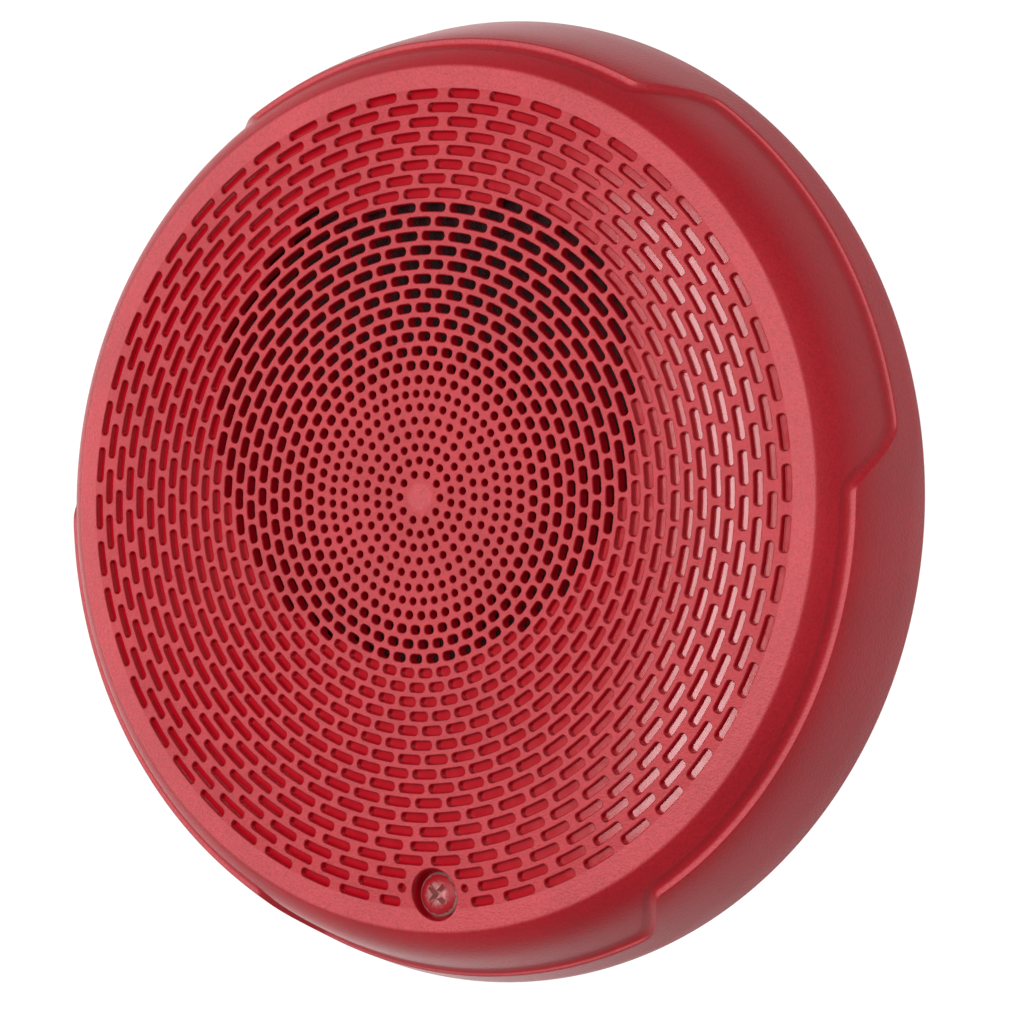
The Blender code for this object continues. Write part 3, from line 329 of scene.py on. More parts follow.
class Slot:
    """A slot with rounded corners that follows an arc around the hub, or a round hole."""
    CORNER_STEPS = 3

    def __init__(self, radius, angle, half_length, half_width):
        self.radius, self.angle = radius, angle
        self.half_length, self.half_width = half_length, half_width
        self.corner = half_width if half_length < half_width * 1.05 else min(CORNER_R, half_width)

    def at(self, along, out):
        angle, radius = self.angle + along / self.radius, self.radius + out
        return radius * sin(angle), radius * cos(angle)

    def outline(self, grow):
        """Points (x, z) of the outline grown by a distance."""
        long, wide, corner = (size + grow for size in (self.half_length, self.half_width, self.corner))
        straight = (wide - corner, long - corner)
        points = []
        for quarter, (x_sign, z_sign) in enumerate(((1, 1), (-1, 1), (-1, -1), (1, -1))):
            for k in range(self.CORNER_STEPS + 1):
                turn = pi / 2 * (quarter + k / self.CORNER_STEPS)
                if k == self.CORNER_STEPS and straight[1 - quarter % 2] < 0.01 * MM:
                    continue
                points.append(self.at(x_sign * (long - corner) + corner * cos(turn),
                                      z_sign * (wide - corner) + corner * sin(turn)))
            if quarter % 2 == 0 and straight[1] > 1.0 * MM:
                points.append(self.at(0.0, z_sign * wide))
        return points

    def holds(self, x, z):
        along = ((atan2(x, z) - self.angle + pi) % (2 * pi) - pi) * self.radius
        out = hypot(x, z) - self.radius
        return abs(along) < self.half_length + EDGE_ROUND and abs(out) < self.half_width + EDGE_ROUND

    def centre(self):
        return self.at(0.0, 0.0)


def clear_of_screw(slot):
    """The slot, cut short where it would run into the screw's recess, or None where too little is left."""
    keep = RECESS_R + (OUTSIDE_CLEARANCE if slot.radius > -SCREW_Z + MM else SLOT_CLEARANCE)
    steps = 24                      # places along the slot, from one end to the other
    clear = []
    for k in range(steps + 1):
        x, z = slot.at((2 * k / steps - 1) * slot.half_length, 0.0)
        clear.append(hypot(x, z - SCREW_Z) > keep)
    if all(clear):
        return slot
    if clear[0]:
        first, last = 0, clear.index(False) - 1
    elif clear[-1]:
        first, last = steps + 1 - clear[::-1].index(False), steps
    else:
        return None
    low, high = 2 * first / steps - 1, 2 * last / steps - 1
    half_length = slot.half_length * (high - low) / 2
    if half_length < DIMPLE_R:
        return None
    angle = slot.angle + (low + high) / 2 * slot.half_length / slot.radius
    return Slot(slot.radius, angle, half_length, min(half_length, slot.half_width))


def all_slots():
    through, blind = [], []
    for radius, count, phase, half_length, half_width in slot_rows():
        for k in range(count):
            slot = clear_of_screw(Slot(radius, phase + 2 * pi * k / count, half_length, half_width))
            if slot is None:
                continue
            x, z = slot.centre()
            opened = hypot(x, z - SPEAKER_Z) < SOUND_R and z < SOUND_TOP
            (through if opened else blind).append(slot)
    return through, blind


def circle(radius, count, centre_z=0.0):
    angles = [2 * pi * k / count for k in range(count)]
    return [(radius * sin(angle), centre_z + radius * cos(angle)) for angle in angles]


def punched_disc(shell, openings, holes, rim_loop, rim_points, depth_at, kind, flip, guides=()):
    """Triangles of a disc with openings. Each opening is a closed loop of (indices, points), and holes has
    a test for each that says whether a point (x, z) is in it. The rim is an existing ring of points; guides
    are extra points that keep the triangles well shaped."""
    points, owner, index, edges = [], [], [], []
    for number, (loop, outline) in enumerate(openings):
        start = len(points)
        points += [Vector(p) for p in outline]
        owner += [number] * len(outline)
        index += loop
        edges += [(start + k, start + (k + 1) % len(outline)) for k in range(len(outline))]
    start = len(points)
    points += [Vector(p) for p in rim_points]
    owner += [-1] * len(rim_points)
    index += rim_loop
    edges += [(start + k, start + (k + 1) % len(rim_points)) for k in range(len(rim_points))]
    for x, z in guides:
        points.append(Vector((x, z)))
        owner.append(-2)
        index.append(shell.add(x, y_at(depth_at(hypot(x, z))), z))
    made = delaunay_2d_cdt(points, edges, [], 0, 1e-9)
    source = [origins[0] if origins else None for origins in made[3]]
    if None in source:
        raise RuntimeError("the outlines of the grille cross each other")
    for corners in made[2]:
        corners = [source[c] for c in corners]
        owners = {owner[c] for c in corners}
        if len(owners) == 1 and min(owners) >= 0:
            x = sum(points[c][0] for c in corners) / 3
            z = sum(points[c][1] for c in corners) / 3
            if holes[min(owners)](x, z):
                continue
        placed = [index[c] for c in corners]
        a, b, c = (points[k] for k in corners)
        turn = (b[0] - a[0]) * (c[1] - a[1]) - (b[1] - a[1]) * (c[0] - a[0])
        if (turn < 0) != flip:
            placed.reverse()
            corners.reverse()
        normals = None
        if not flip:
            normals = [face_normal(*points[k]) for k in corners]
        shell.face(placed, kind, normals)


def wall_normals(outline):
    """Unit normals (x, z) that point into an opening, one for each point of its outline."""
    count = len(outline)
    normals = []
    for i in range(count):
        before, after = outline[i - 1], outline[(i + 1) % count]
        dx, dz = after[0] - before[0], after[1] - before[1]
        length = hypot(dx, dz)
        normals.append((-dz / length, dx / length))
    cx = sum(p[0] for p in outline) / count
    cz = sum(p[1] for p in outline) / count
    dot = sum(n[0] * (cx - p[0]) + n[1] * (cz - p[1]) for n, p in zip(normals, outline))
    return normals if dot > 0 else [(-x, -z) for x, z in normals]


def sink(shell, outline_at, bottom, blind=False):
    """The rounded edge and the walls of an opening of the face, and its floor if it is blind. Returns the
    loop and the outline at the surface, and the loop at the bottom."""
    loops, normals = [], []
    steps = 2
    for k in range(steps + 1):
        turn = pi / 2 * k / steps
        outline = outline_at(EDGE_ROUND * (1 - sin(turn)))
        sunk = EDGE_ROUND * (1 - cos(turn))
        loops.append([shell.add(x, y_at(dome_depth(x, z) + sunk), z) for x, z in outline])
        sideways = wall_normals(outline)
        blend = []
        for (x, z), (nx, nz) in zip(outline, sideways):
            face = face_normal(x, z)
            blend.append((face[0] * cos(turn) + nx * sin(turn), face[1] * cos(turn),
                          face[2] * cos(turn) + nz * sin(turn)))
        normals.append(blend)
    surface = outline_at(EDGE_ROUND)
    wall = outline_at(0.0)
    base = [shell.add(x, y_at(dome_depth(x, z) + bottom), z) for x, z in wall]
    sideways = [(nx, 0.0, nz) for nx, nz in wall_normals(wall)]
    for k in range(steps):
        shell.band(loops[k + 1], loops[k], GRAINED, normals[k + 1], normals[k])
    shell.band(base, loops[-1], SMOOTH, sideways, sideways)
    if blind:
        shell.face(base[::-1], SMOOTH, [face_normal(x, z) for x, z in wall[::-1]])
    return loops[0], surface, base


def perforate(shell):
    """Every opening of the grille. Returns the loops in front and behind, and a test for each."""
    front, front_holes, back, back_holes = [], [], [], []
    through, blind = all_slots()
    for slot in through:
        loop, outline, base = sink(shell, slot.outline, FACE_WALL)
        front.append((loop, outline))
        front_holes.append(slot.holds)
        back.append((base, slot.outline(0.0)))
        back_holes.append(slot.holds)
    for slot in blind:
        loop, outline, base = sink(shell, slot.outline, BLIND_DEPTH, blind=True)
        front.append((loop, outline))
        front_holes.append(slot.holds)
    return front, front_holes, back, back_holes


def screw_recess(shell):
    """The recess of the fixing screw, its bore, and the tube behind it. Returns the loop and outline at the
    surface, and those of the tube's root at the back of the face."""
    seat = face_depth(abs(SCREW_Z)) + RECESS_DEPTH

    def outline_at(grow):
        return circle(RECESS_R + grow, SCREW_ROUND, SCREW_Z)

    loop, outline, before = sink(shell, outline_at, BLIND_DEPTH)
    for radius, depth in ((RECESS_R - 0.05 * MM, seat), (BORE_R, seat), (BORE_R, seat + SEAT_THICKNESS),
                          (TUBE_BORE_R, seat + SEAT_THICKNESS), (TUBE_BORE_R, TUBE_END), (TUBE_R, TUBE_END)):
        after = [shell.add(x, y_at(depth), z) for x, z in circle(radius, SCREW_ROUND, SCREW_Z)]
        shell.band(after, before, SMOOTH)
        before = after
    root_points = circle(TUBE_R, SCREW_ROUND, SCREW_Z)
    root = [shell.add(x, y_at(face_depth(min(hypot(x, z), LATTICE_EDGE_R)) + FACE_WALL), z)
            for x, z in root_points]
    shell.band(root, before, SMOOTH)
    return (loop, outline), (root, root_points)


def away_from(points, centre_z, distance):
    return [p for p in points if hypot(p[0], p[1] - centre_z) > distance]


def front_cover(grained, smooth):
    """The face with its grille and the side wall, one closed body."""
    shell = Shell()
    front, front_holes, back, back_holes = perforate(shell)
    recess, tube_root = screw_recess(shell)
    front.append(recess)
    front_holes.append(lambda x, z: hypot(x, z - SCREW_Z) < RECESS_R + EDGE_ROUND)
    back.append(tube_root)
    back_holes.append(lambda x, z: hypot(x, z - SCREW_Z) < TUBE_R)

    # The rim: from the edge of the lattice over the rounded corner on to the side wall
    rim_start = (FACE_R - RIM_ROUND, face_depth(FACE_R - RIM_ROUND))
    rim_end_depth = RIM_DROP + 0.7 * RIM_ROUND
    rim_end = (side_r(rim_end_depth), rim_end_depth)
    inset = STEP_INSET + SIDE_WALL

    def rim(angle, share):
        return bend(rim_start, (FACE_R, RIM_DROP), rim_end, share)

    def side(angle, share):
        depth = rim_end_depth + share * (step_depth(angle) - rim_end_depth)
        return side_r(depth), depth

    def step_back(angle, share):
        depth = step_depth(angle) + GAP / 10
        return side_r(depth) - STEP_INSET, depth

    def tongue(angle, share):
        step = step_depth(angle)
        depth = step + share * (REAR_BACK - step)
        return side_r(depth) - STEP_INSET, depth

    def inside(angle, depth):
        return side_r(depth) - inset, depth

    def face_back(angle, share):
        return INNER_RIM_R, face_depth(INNER_RIM_R) + FACE_WALL

    before = rim_loop = ring_of(shell, lambda angle: (LATTICE_EDGE_R, face_depth(LATTICE_EDGE_R)))
    for rule, places, kind in (
        (rim, (0.0, 0.2, 0.4, 0.6, 0.8, 1.0), GRAINED),
        (side, (0.05, 0.1, 0.16, 0.24, 0.34, 0.46, 0.6, 0.8, 1.0), GRAINED),
        (step_back, (0.0,), GRAINED),
        (tongue, (0.12, 0.35, 1.0), GRAINED),
        (inside, (REAR_BACK, *INNER_WALL_DEPTHS, SHALLOW_STEP + SIDE_WALL), SMOOTH),
        (face_back, (0.0,), SMOOTH),
    ):
        for place in places:
            after = ring_of(shell, lambda angle: rule(angle, place))
            shell.band(after, before, kind)
            before = after

    guides = [p for ring in FACE_GUIDES for p in away_from(circle(*ring), SCREW_Z, RECESS_R + 0.6 * MM)]
    guides += circle(*HUB_GUIDE) + [(0.0, 0.0)]
    punched_disc(shell, front, front_holes, rim_loop, circle(LATTICE_EDGE_R, ROUND), face_depth,
                 GRAINED, False, guides)
    guides = [p for ring in BACK_GUIDES
              for p in away_from(away_from(circle(*ring), SPEAKER_Z, SOUND_R + 6 * MM),
                                 SCREW_Z, TUBE_R + 0.9 * MM)]
    punched_disc(shell, back, back_holes, before, circle(INNER_RIM_R, ROUND),
                 lambda radius: face_depth(radius) + FACE_WALL, SMOOTH, True, guides)
    return shell.build("front_cover_shell", (grained, smooth))


def housing_ring(grained):
    """The ring behind the wavy step, one closed body."""
    shell = Shell()
    inset = STEP_INSET - GAP
    middle = side_r(WIDEST_DEPTH) + STEP_WIDTH - RING_EDGE_R

    def lip_back(angle, share):
        depth = step_depth(angle) + GAP + LIP
        return side_r(depth) - inset, depth

    def lip_edge(angle, share):
        radius, depth = cove(angle, 0.0)
        return radius - LIP, depth

    def cove(angle, share):
        """From the step's inner edge, where it follows the side, out to its brow."""
        step = step_depth(angle) + SEAM
        brow = step_depth(angle) + GAP + STEP_SLOPE * step_stretch(angle)
        start, end = (side_r(step) - GAP / 3, step), (side_r(brow) + STEP_WIDTH, brow)
        turn_at = [a + part * (b - a) for a, b, part in zip(start, end, COVE_TURN)]
        return bend(start, turn_at, end, share)

    def brow_round(angle, share):
        corner = cove(angle, 1.0)
        depth = corner[1] + BROW_ROUND
        return bend(cove(angle, 0.9), corner, (side_r(depth) + STEP_WIDTH, depth), share)

    def outside(angle, share):
        start = cove(angle, 1.0)[1] + BROW_ROUND
        depth = start + share * (WIDEST_DEPTH - start)
        return side_r(depth) + STEP_WIDTH, depth

    def back_edge(angle, share):
        turn = pi / 2 * share
        return middle + RING_EDGE_R * cos(turn), WIDEST_DEPTH + RING_EDGE_R * sin(turn)

    def wall_face(angle, share):
        return side_r(DEPTH - WALL_GAP) - inset, DEPTH - WALL_GAP

    def inside(angle, share):
        step = step_depth(angle)
        depth = step + share * (REAR_BACK - step)
        return side_r(depth) - inset, depth

    first = before = ring_of(shell, lambda angle: lip_back(angle, 0.0))
    for rule, shares in (
        (lip_edge, (0.0,)),
        (cove, (0.0, 0.12, 0.25, 0.4, 0.55, 0.7, 0.82, 0.9)),
        (brow_round, (0.25, 0.5, 0.75, 1.0)),
        (outside, (0.15, 0.3, 0.5, 0.75, 1.0)),
        (back_edge, [k / 6 for k in range(1, 7)]),
        (wall_face, (0.0,)),
        (inside, (1.0, 0.35, 0.12)),
    ):
        for share in shares:
            after = ring_of(shell, lambda angle: rule(angle, share))
            shell.band(after, before)
            before = after
    shell.band(first, before)
    return shell.build("housing_ring_shell", (grained,))


def turned_body(name, profile):
    """A solid of revolution around the screw's axis, from pairs of radius and y."""
    bm = bmesh.new()
    rings = []
    for radius, y in profile:
        if radius > 0.0:
            rings.append([bm.verts.new((x, y, z)) for x, z in circle(radius, SCREW_ROUND, SCREW_Z)])
        else:
            rings.append([bm.verts.new((0, y, SCREW_Z))] * SCREW_ROUND)
    for before, after in zip(rings, rings[1:]):
        for k in range(SCREW_ROUND):
            j = (k + 1) % SCREW_ROUND
            corners = dict.fromkeys((before[k], before[j], after[j], after[k]))     # each point once
            bm.faces.new(list(corners))
    return thing_of(bm, name)


def cross_cutter(top):
    """Two tapered blades that meet on the screw's axis."""
    bm = bmesh.new()
    for quarter in range(2):
        for vert in bmesh.ops.create_cube(bm, size=1.0)["verts"]:
            deep = vert.co.y > 0
            arm, half = CROSS_BOTTOM if deep else CROSS_TOP
            x, z = vert.co.x * 2 * arm, vert.co.z * 2 * half
            turn = radians(CROSS_TURN) + quarter * pi / 2
            apart = quarter * 0.001 * MM        # so that no two planes of the blades meet
            vert.co = (x * cos(turn) - z * sin(turn), top + (CROSS_DEPTH if deep else -CROSS_START),
                       SCREW_Z + x * sin(turn) + z * cos(turn) + apart)
    return thing_of(bm, "cross_cutter")


def captive_screw(painted):
    """Pan head screw with a cross recess, painted red with the case."""
    low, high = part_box("captive_screw")
    top, tip = low[1], high[1]
    head_r = (high[0] - low[0]) / 2
    seat = y_at(face_depth(abs(SCREW_Z)) + RECESS_DEPTH) - GAP
    arc = radians(HEAD_ARC)
    profile = []
    for k in range(7):
        turn = arc * k / 6
        profile.append((head_r * HEAD_TOP_SHARE * sin(turn) / sin(arc),
                        top + HEAD_RISE * (1 - cos(turn)) / (1 - cos(arc))))
    profile += [(head_r, top + HEAD_EDGE), (head_r, seat - HEAD_CHAMFER), (head_r - HEAD_CHAMFER, seat),
                (SHANK_R, seat), (SHANK_R, tip - POINT_LENGTH), (POINT_R, tip), (0.0, tip)]
    screw = turned_body("captive_screw_painted", profile)
    screw.data.materials.append(painted)
    cutter = cross_cutter(top)
    cross = screw.modifiers.new("cross", "BOOLEAN")
    cross.operation, cross.solver, cross.use_self = "DIFFERENCE", "EXACT", True
    cross.object = cutter
    soften = screw.modifiers.new("soften", "BEVEL")
    soften.width, soften.segments = CROSS_ROUND, 2
    soften.limit_method, soften.angle_limit = "ANGLE", radians(40)
    bpy.context.view_layer.update()
    graph = bpy.context.evaluated_depsgraph_get()
    baked = bpy.data.meshes.new_from_object(screw.evaluated_get(graph), depsgraph=graph)
    screw.modifiers.clear()
    screw.data = baked
    baked.shade_smooth()
    baked.set_sharp_from_angle(angle=radians(35))
    bpy.data.objects.remove(cutter)
    return screw


# ---------------------------------------------------------------- materials

class Look:
    """A Principled material and the few nodes that the looks below are made of. Scales are in metres."""

    def __init__(self, name, colour, roughness, metallic=0.0, **sockets):
        self.material = bpy.data.materials.new(name)
        self.material.use_nodes = True
        self.tree = self.material.node_tree
        self.shader = self.tree.nodes["Principled BSDF"]
        self.shader.inputs["Base Color"].default_value = (*colour, 1.0)
        self.shader.inputs["Roughness"].default_value = roughness
        self.shader.inputs["Metallic"].default_value = metallic
        for socket, value in sockets.items():
            self.shader.inputs[socket.replace("_", " ")].default_value = value
        self.colour = colour
        self.place = self.tree.nodes.new("ShaderNodeTexCoord").outputs["Object"]

    def put(self, socket, value):
        if isinstance(value, bpy.types.NodeSocket):
            self.tree.links.new(value, socket)
        elif value is not None:
            socket.default_value = value

    def texture(self, kind, scale, output, vector=None, **sockets):
        made = self.tree.nodes.new("ShaderNodeTex" + kind)
        self.put(made.inputs["Vector"], vector or self.place)
        made.inputs["Scale"].default_value = scale
        for socket, value in sockets.items():
            made.inputs[socket].default_value = value
        return made.outputs[output]

    def noise(self, size, detail=3.0):
        """Soft lumps of about this size."""
        return self.texture("Noise", 1 / size, "Fac", Detail=detail)

    def cells(self, size):
        return self.texture("Voronoi", 1 / size, "Distance")

    def math(self, operation, first, second=None, clamp=False):
        made = self.tree.nodes.new("ShaderNodeMath")
        made.operation = operation
        made.use_clamp = clamp
        self.put(made.inputs[0], first)
        self.put(made.inputs[1], second)
        return made.outputs[0]

    def span(self, value, low, high, out_low=0.0, out_high=1.0):
        made = self.tree.nodes.new("ShaderNodeMapRange")
        for socket, given in zip(made.inputs, (value, low, high, out_low, out_high)):
            self.put(socket, given)
        return made.outputs[0]

    def mix(self, share, first, second):
        made = self.tree.nodes.new("ShaderNodeMix")
        made.data_type = "RGBA"
        self.put(made.inputs["Factor"], share)
        for socket, given in ((made.inputs[6], first), (made.inputs[7], second)):
            self.put(socket, (*given, 1.0) if isinstance(given, tuple) else given)
        return made.outputs[2]

    def shades(self, share, darker, lighter):
        """The material's colour, between two shares of itself."""
        return self.mix(share, *(tuple(c * k for c in self.colour) for k in (darker, lighter)))

    def stretched(self, x, y, z, turn=(0.0, 0.0, 0.0)):
        made = self.tree.nodes.new("ShaderNodeMapping")
        self.put(made.inputs["Vector"], self.place)
        made.inputs["Scale"].default_value = (x, y, z)
        made.inputs["Rotation"].default_value = turn
        return made.outputs[0]

    def axes(self, vector=None):
        made = self.tree.nodes.new("ShaderNodeSeparateXYZ")
        self.put(made.inputs[0], vector or self.place)
        return made.outputs

    def radius(self, centre_x, centre_z):
        x, _, z = self.axes()
        x, z = self.math("SUBTRACT", x, centre_x), self.math("SUBTRACT", z, centre_z)
        return self.math("SQRT", self.math("ADD", self.math("MULTIPLY", x, x), self.math("MULTIPLY", z, z)))

    def bump(self, height, depth, strength=1.0):
        made = self.tree.nodes.new("ShaderNodeBump")
        made.inputs["Distance"].default_value = depth
        made.inputs["Strength"].default_value = strength
        self.put(made.inputs["Height"], height)
        return made.outputs[0]

    def done(self, colour=None, roughness=None, normal=None):
        for socket, value in (("Base Color", colour), ("Roughness", roughness), ("Normal", normal)):
            self.put(self.shader.inputs[socket], value)
        return self.material


def moulded(name, colour, roughness, grain, grain_depth):
    """Injection moulded plastic: a fine spark-eroded grain, with faint clouding in colour and gloss."""
    look = Look(name, colour, roughness)
    fine = look.noise(grain, 4.0)
    pits = look.cells(grain * 1.6)
    height = look.math("ADD", fine, look.math("MULTIPLY", pits, 0.5))
    cloud = look.noise(14 * MM, 2.0)
    tint = look.math("ADD", look.math("MULTIPLY", fine, 0.6), look.math("MULTIPLY", cloud, 0.4))
    return look.done(look.shades(look.span(tint, 0.3, 0.7), 0.92, 1.08),
                     look.span(cloud, 0.3, 0.7, roughness - 0.03, roughness + 0.03),
                     look.bump(height, grain_depth))


def plated(name, colour, roughness, grain_axis="z"):
    """Plated or ground metal: fine lines along X or Z, and dull spots."""
    look = Look(name, colour, roughness, 1.0)
    scale = {"x": (60, 4000, 4000), "z": (4000, 4000, 60)}[grain_axis]
    lines = look.texture("Noise", 1.0, "Fac", look.stretched(*scale), Detail=2.0)
    spots = look.noise(1.5 * MM, 4.0)
    return look.done(look.shades(look.span(spots, 0.35, 0.65), 0.82, 1.04),
                     look.span(spots, 0.35, 0.65, roughness + 0.12, roughness - 0.05),
                     look.bump(lines, 0.01 * MM, 0.6))


def woven(name, colour, pitch, depth):
    """Plain weave: two sets of threads at right angles."""
    look = Look(name, colour, 0.9)
    x, _, z = look.axes()
    turns = 2 * pi / pitch
    warp = look.math("SINE", look.math("MULTIPLY", x, turns))
    weft = look.math("SINE", look.math("MULTIPLY", z, turns))
    height = look.math("ADD", look.math("MULTIPLY", warp, weft), look.noise(pitch * 0.6, 3.0))
    # The colour darkens where the weave is low: painted shade in its hollows, plus random tone from the
    # noise.
    return look.done(look.shades(look.span(height, -0.5, 1.4), 0.45, 1.5),
                     look.span(look.noise(3 * MM), 0.3, 0.7, 0.8, 0.95), look.bump(height, depth))


def wound(name, colour, roughness, pitch, centre):
    """Turns of bare or lacquered wire around an axis along Y."""
    look = Look(name, colour, roughness, 1.0)
    bands = look.math("SINE", look.math("MULTIPLY", look.radius(*centre), 2 * pi / pitch))
    along = look.math("SINE", look.math("MULTIPLY", look.axes()[1], 2 * pi / pitch))
    height = look.math("ADD", bands, look.math("ADD", along, look.noise(pitch * 3)))
    # The colour darkens in the grooves between turns: painted shade.
    return look.done(look.shades(look.span(height, -1.5, 2.0), 0.55, 1.15), None,
                     look.bump(height, 0.05 * MM))


def fibrous(name, colour):
    """Pressed paper: short fibres in every direction, and a faint mottle."""
    look = Look(name, colour, 0.9)
    fibres = look.texture("Noise", 1.0, "Fac", look.stretched(900, 2500, 3500, (0.3, 0.2, 0.9)), Detail=5.0)
    cross = look.texture("Noise", 1.0, "Fac", look.stretched(3500, 2500, 900, (0.1, 0.4, 0.2)), Detail=5.0)
    height = look.math("ADD", fibres, cross)
    return look.done(look.shades(look.span(height, 0.8, 1.2), 0.5, 1.6), None, look.bump(height, 0.06 * MM))


def speckled(name, colour, roughness, size, depth):
    """Ferrite, foam and other materials with a pitted surface."""
    look = Look(name, colour, roughness)
    pits = look.cells(size)
    blotch = look.noise(size * 9, 3.0)
    height = look.math("ADD", pits, look.math("MULTIPLY", blotch, 0.4))
    # The colour darkens in the pits: painted shade, plus random blotches.
    return look.done(look.shades(look.span(height, 0.2, 0.9), 0.6, 1.4),
                     look.span(blotch, 0.3, 0.7, roughness - 0.08, roughness + 0.08),
                     look.bump(height, depth))


def laminate(name, colour, roughness, trace_colour, pitch):
    """Circuit or terminal board: woven glass under the mask, and tracks on a grid."""
    look = Look(name, colour, roughness)
    x, _, z = look.axes()
    turns = 2 * pi / (0.5 * MM)
    weave = look.math("MULTIPLY", look.math("SINE", look.math("MULTIPLY", x, turns)),
                      look.math("SINE", look.math("MULTIPLY", z, turns)))
    blocks = look.texture("Voronoi", 1 / pitch, "Distance", look.stretched(1.0, 0.05, 1.0))
    across = look.math("SUBTRACT", look.math("FRACT", look.math("MULTIPLY", blocks, 6.0)), 0.5)
    tracks = look.span(look.math("ABSOLUTE", across), 0.2, 0.24)
    height = look.math("ADD", look.math("MULTIPLY", weave, 0.15), tracks)
    return look.done(look.mix(tracks, trace_colour, look.shades(weave, 0.9, 1.1)), None,
                     look.bump(height, 0.03 * MM))


def layered(name, colour, roughness, pitch, metallic=0.0):
    """Stacked laminations or wraps of tape: thin layers along Y."""
    look = Look(name, colour, roughness, metallic)
    layers = look.math("FRACT", look.math("MULTIPLY", look.axes()[1], 1 / pitch))
    edge = look.span(layers, 0.0, 0.25)
    spots = look.noise(2 * MM, 4.0)
    tint = look.math("MULTIPLY", edge, look.span(spots, 0.3, 0.7, 0.7, 1.0))
    return look.done(look.shades(tint, 0.45, 1.1),
                     look.span(spots, 0.3, 0.7, roughness - 0.1, roughness + 0.1),
                     look.bump(look.math("ADD", edge, look.math("MULTIPLY", spots, 0.3)), 0.06 * MM))


SIDE_RED = (0.34, 0.0035, 0.011)    # side wall and ring
WEB_RED_PAINTED_SHEEN = (0.46, 0.026, 0.036)      # between the openings of the face; lighter and paler than the side: painted sheen
RING_RED_PAINTED_SHEEN = (0.51, 0.052, 0.064)     # plain ring of the face, and the hub; lighter and paler than the side: painted sheen
FLOOR_RED = (0.40, 0.002, 0.010)    # floors and walls of the openings
PAINT_RED = (0.34, 0.006, 0.014)
WORN_GREY = (0.46, 0.26, 0.25)


def red_case():
    """Outside of the case: grained red plastic. The grain is coarser on the face, and the face is lighter
    and paler than the side: painted sheen, picked by which way the surface looks. It is lighter still on the
    plain ring around the openings and on the hub; the side just behind the rim is smoother and deeper in
    colour."""
    look = Look("red_plastic_grained", SIDE_RED, 0.55, Specular_IOR_Level=0.5)
    fine = look.noise(0.40 * MM, 3.0)
    coarse = look.noise(0.8 * MM, 2.0)
    cloud = look.noise(18 * MM, 2.0)
    grain = look.math("ADD", fine, look.math("MULTIPLY", coarse, 0.5))
    tint = look.math("ADD", look.math("MULTIPLY", grain, 0.5), look.math("MULTIPLY", cloud, 0.25))
    out = look.radius(0.0, 0.0)
    on_ring = look.span(out, RING_START_R - 0.15 * MM, RING_START_R + 0.15 * MM)
    hub = look.span(out, HUB_R, HUB_R + 0.8 * MM, 1.0, 0.0)
    facing = look.axes(look.tree.nodes.new("ShaderNodeTexCoord").outputs["Normal"])["Y"]
    front = look.span(facing, -0.86, -0.95)
    wide = look.span(out, FACE_R + 3.0 * MM, OUTER_R - 1.0 * MM)
    ring_or_hub = look.math("MAXIMUM", on_ring, hub)
    # Surfaces that look forward take the lighter face reds: painted sheen of the light on the face.
    colour = look.mix(front, SIDE_RED, look.mix(ring_or_hub, WEB_RED_PAINTED_SHEEN, RING_RED_PAINTED_SHEEN))
    shade = look.span(tint, 0.34, 0.70, 0.78, 1.22)
    grained = look.tree.nodes.new("ShaderNodeVectorMath")
    grained.operation = "SCALE"
    look.put(grained.inputs[0], colour)
    look.put(grained.inputs["Scale"], shade)
    gloss = look.math("MAXIMUM", front, look.span(wide, 0.0, 1.0, 0.55, 1.0))
    look.put(look.shader.inputs["Specular IOR Level"], look.math("MULTIPLY", gloss, 0.5))
    look.put(look.shader.inputs["Sheen Weight"], look.math("MULTIPLY", wide, 0.10))
    look.put(look.shader.inputs["Sheen Roughness"], 0.5)
    depth = look.math("MULTIPLY", grain, look.span(front, 0.0, 1.0, 0.45, 1.0))
    return look.done(grained.outputs[0], look.span(fine, 0.3, 0.7, 0.5, 0.62), look.bump(depth, 0.16 * MM))


def red_smooth():
    """Floors and walls of the openings, which the mould leaves smoother."""
    look = Look("red_plastic_smooth", FLOOR_RED, 0.18, Specular_IOR_Level=0.5)
    soft = look.noise(2.5 * MM, 2.0)
    fine = look.noise(0.3 * MM, 2.0)
    return look.done(look.shades(look.span(soft, 0.3, 0.7), 0.95, 1.05),
                     look.span(soft, 0.3, 0.7, 0.15, 0.20), look.bump(fine, 0.004 * MM))


def red_paint_on_steel():
    """Painted screw, worn to grey metal on its rim and along the cross."""
    look = Look("red_paint_on_steel", PAINT_RED, 0.42, Specular_IOR_Level=0.3)
    out = look.radius(0.0, SCREW_Z)
    patchy = look.math("SUBTRACT", look.noise(0.8 * MM, 4.0), 0.5)
    rim = look.span(look.math("ADD", out, look.math("MULTIPLY", patchy, 0.7 * MM)), 3.45 * MM, 3.65 * MM)
    middle = look.span(look.math("ADD", out, look.math("MULTIPLY", patchy, 2.4 * MM)), 2.4 * MM, 1.6 * MM)
    worn = look.math("MAXIMUM", rim, look.math("MULTIPLY", middle, 0.5), clamp=True)
    scuffs = look.noise(0.25 * MM, 3.0)
    colour = look.mix(worn, look.shades(scuffs, 0.7, 1.2), WORN_GREY)
    look.put(look.shader.inputs["Metallic"], look.math("MULTIPLY", worn, 0.5))
    return look.done(colour, look.span(scuffs, 0.3, 0.7, 0.3, 0.5),
                     look.bump(look.math("SUBTRACT", look.math("MULTIPLY", scuffs, 0.5), worn), 0.04 * MM))


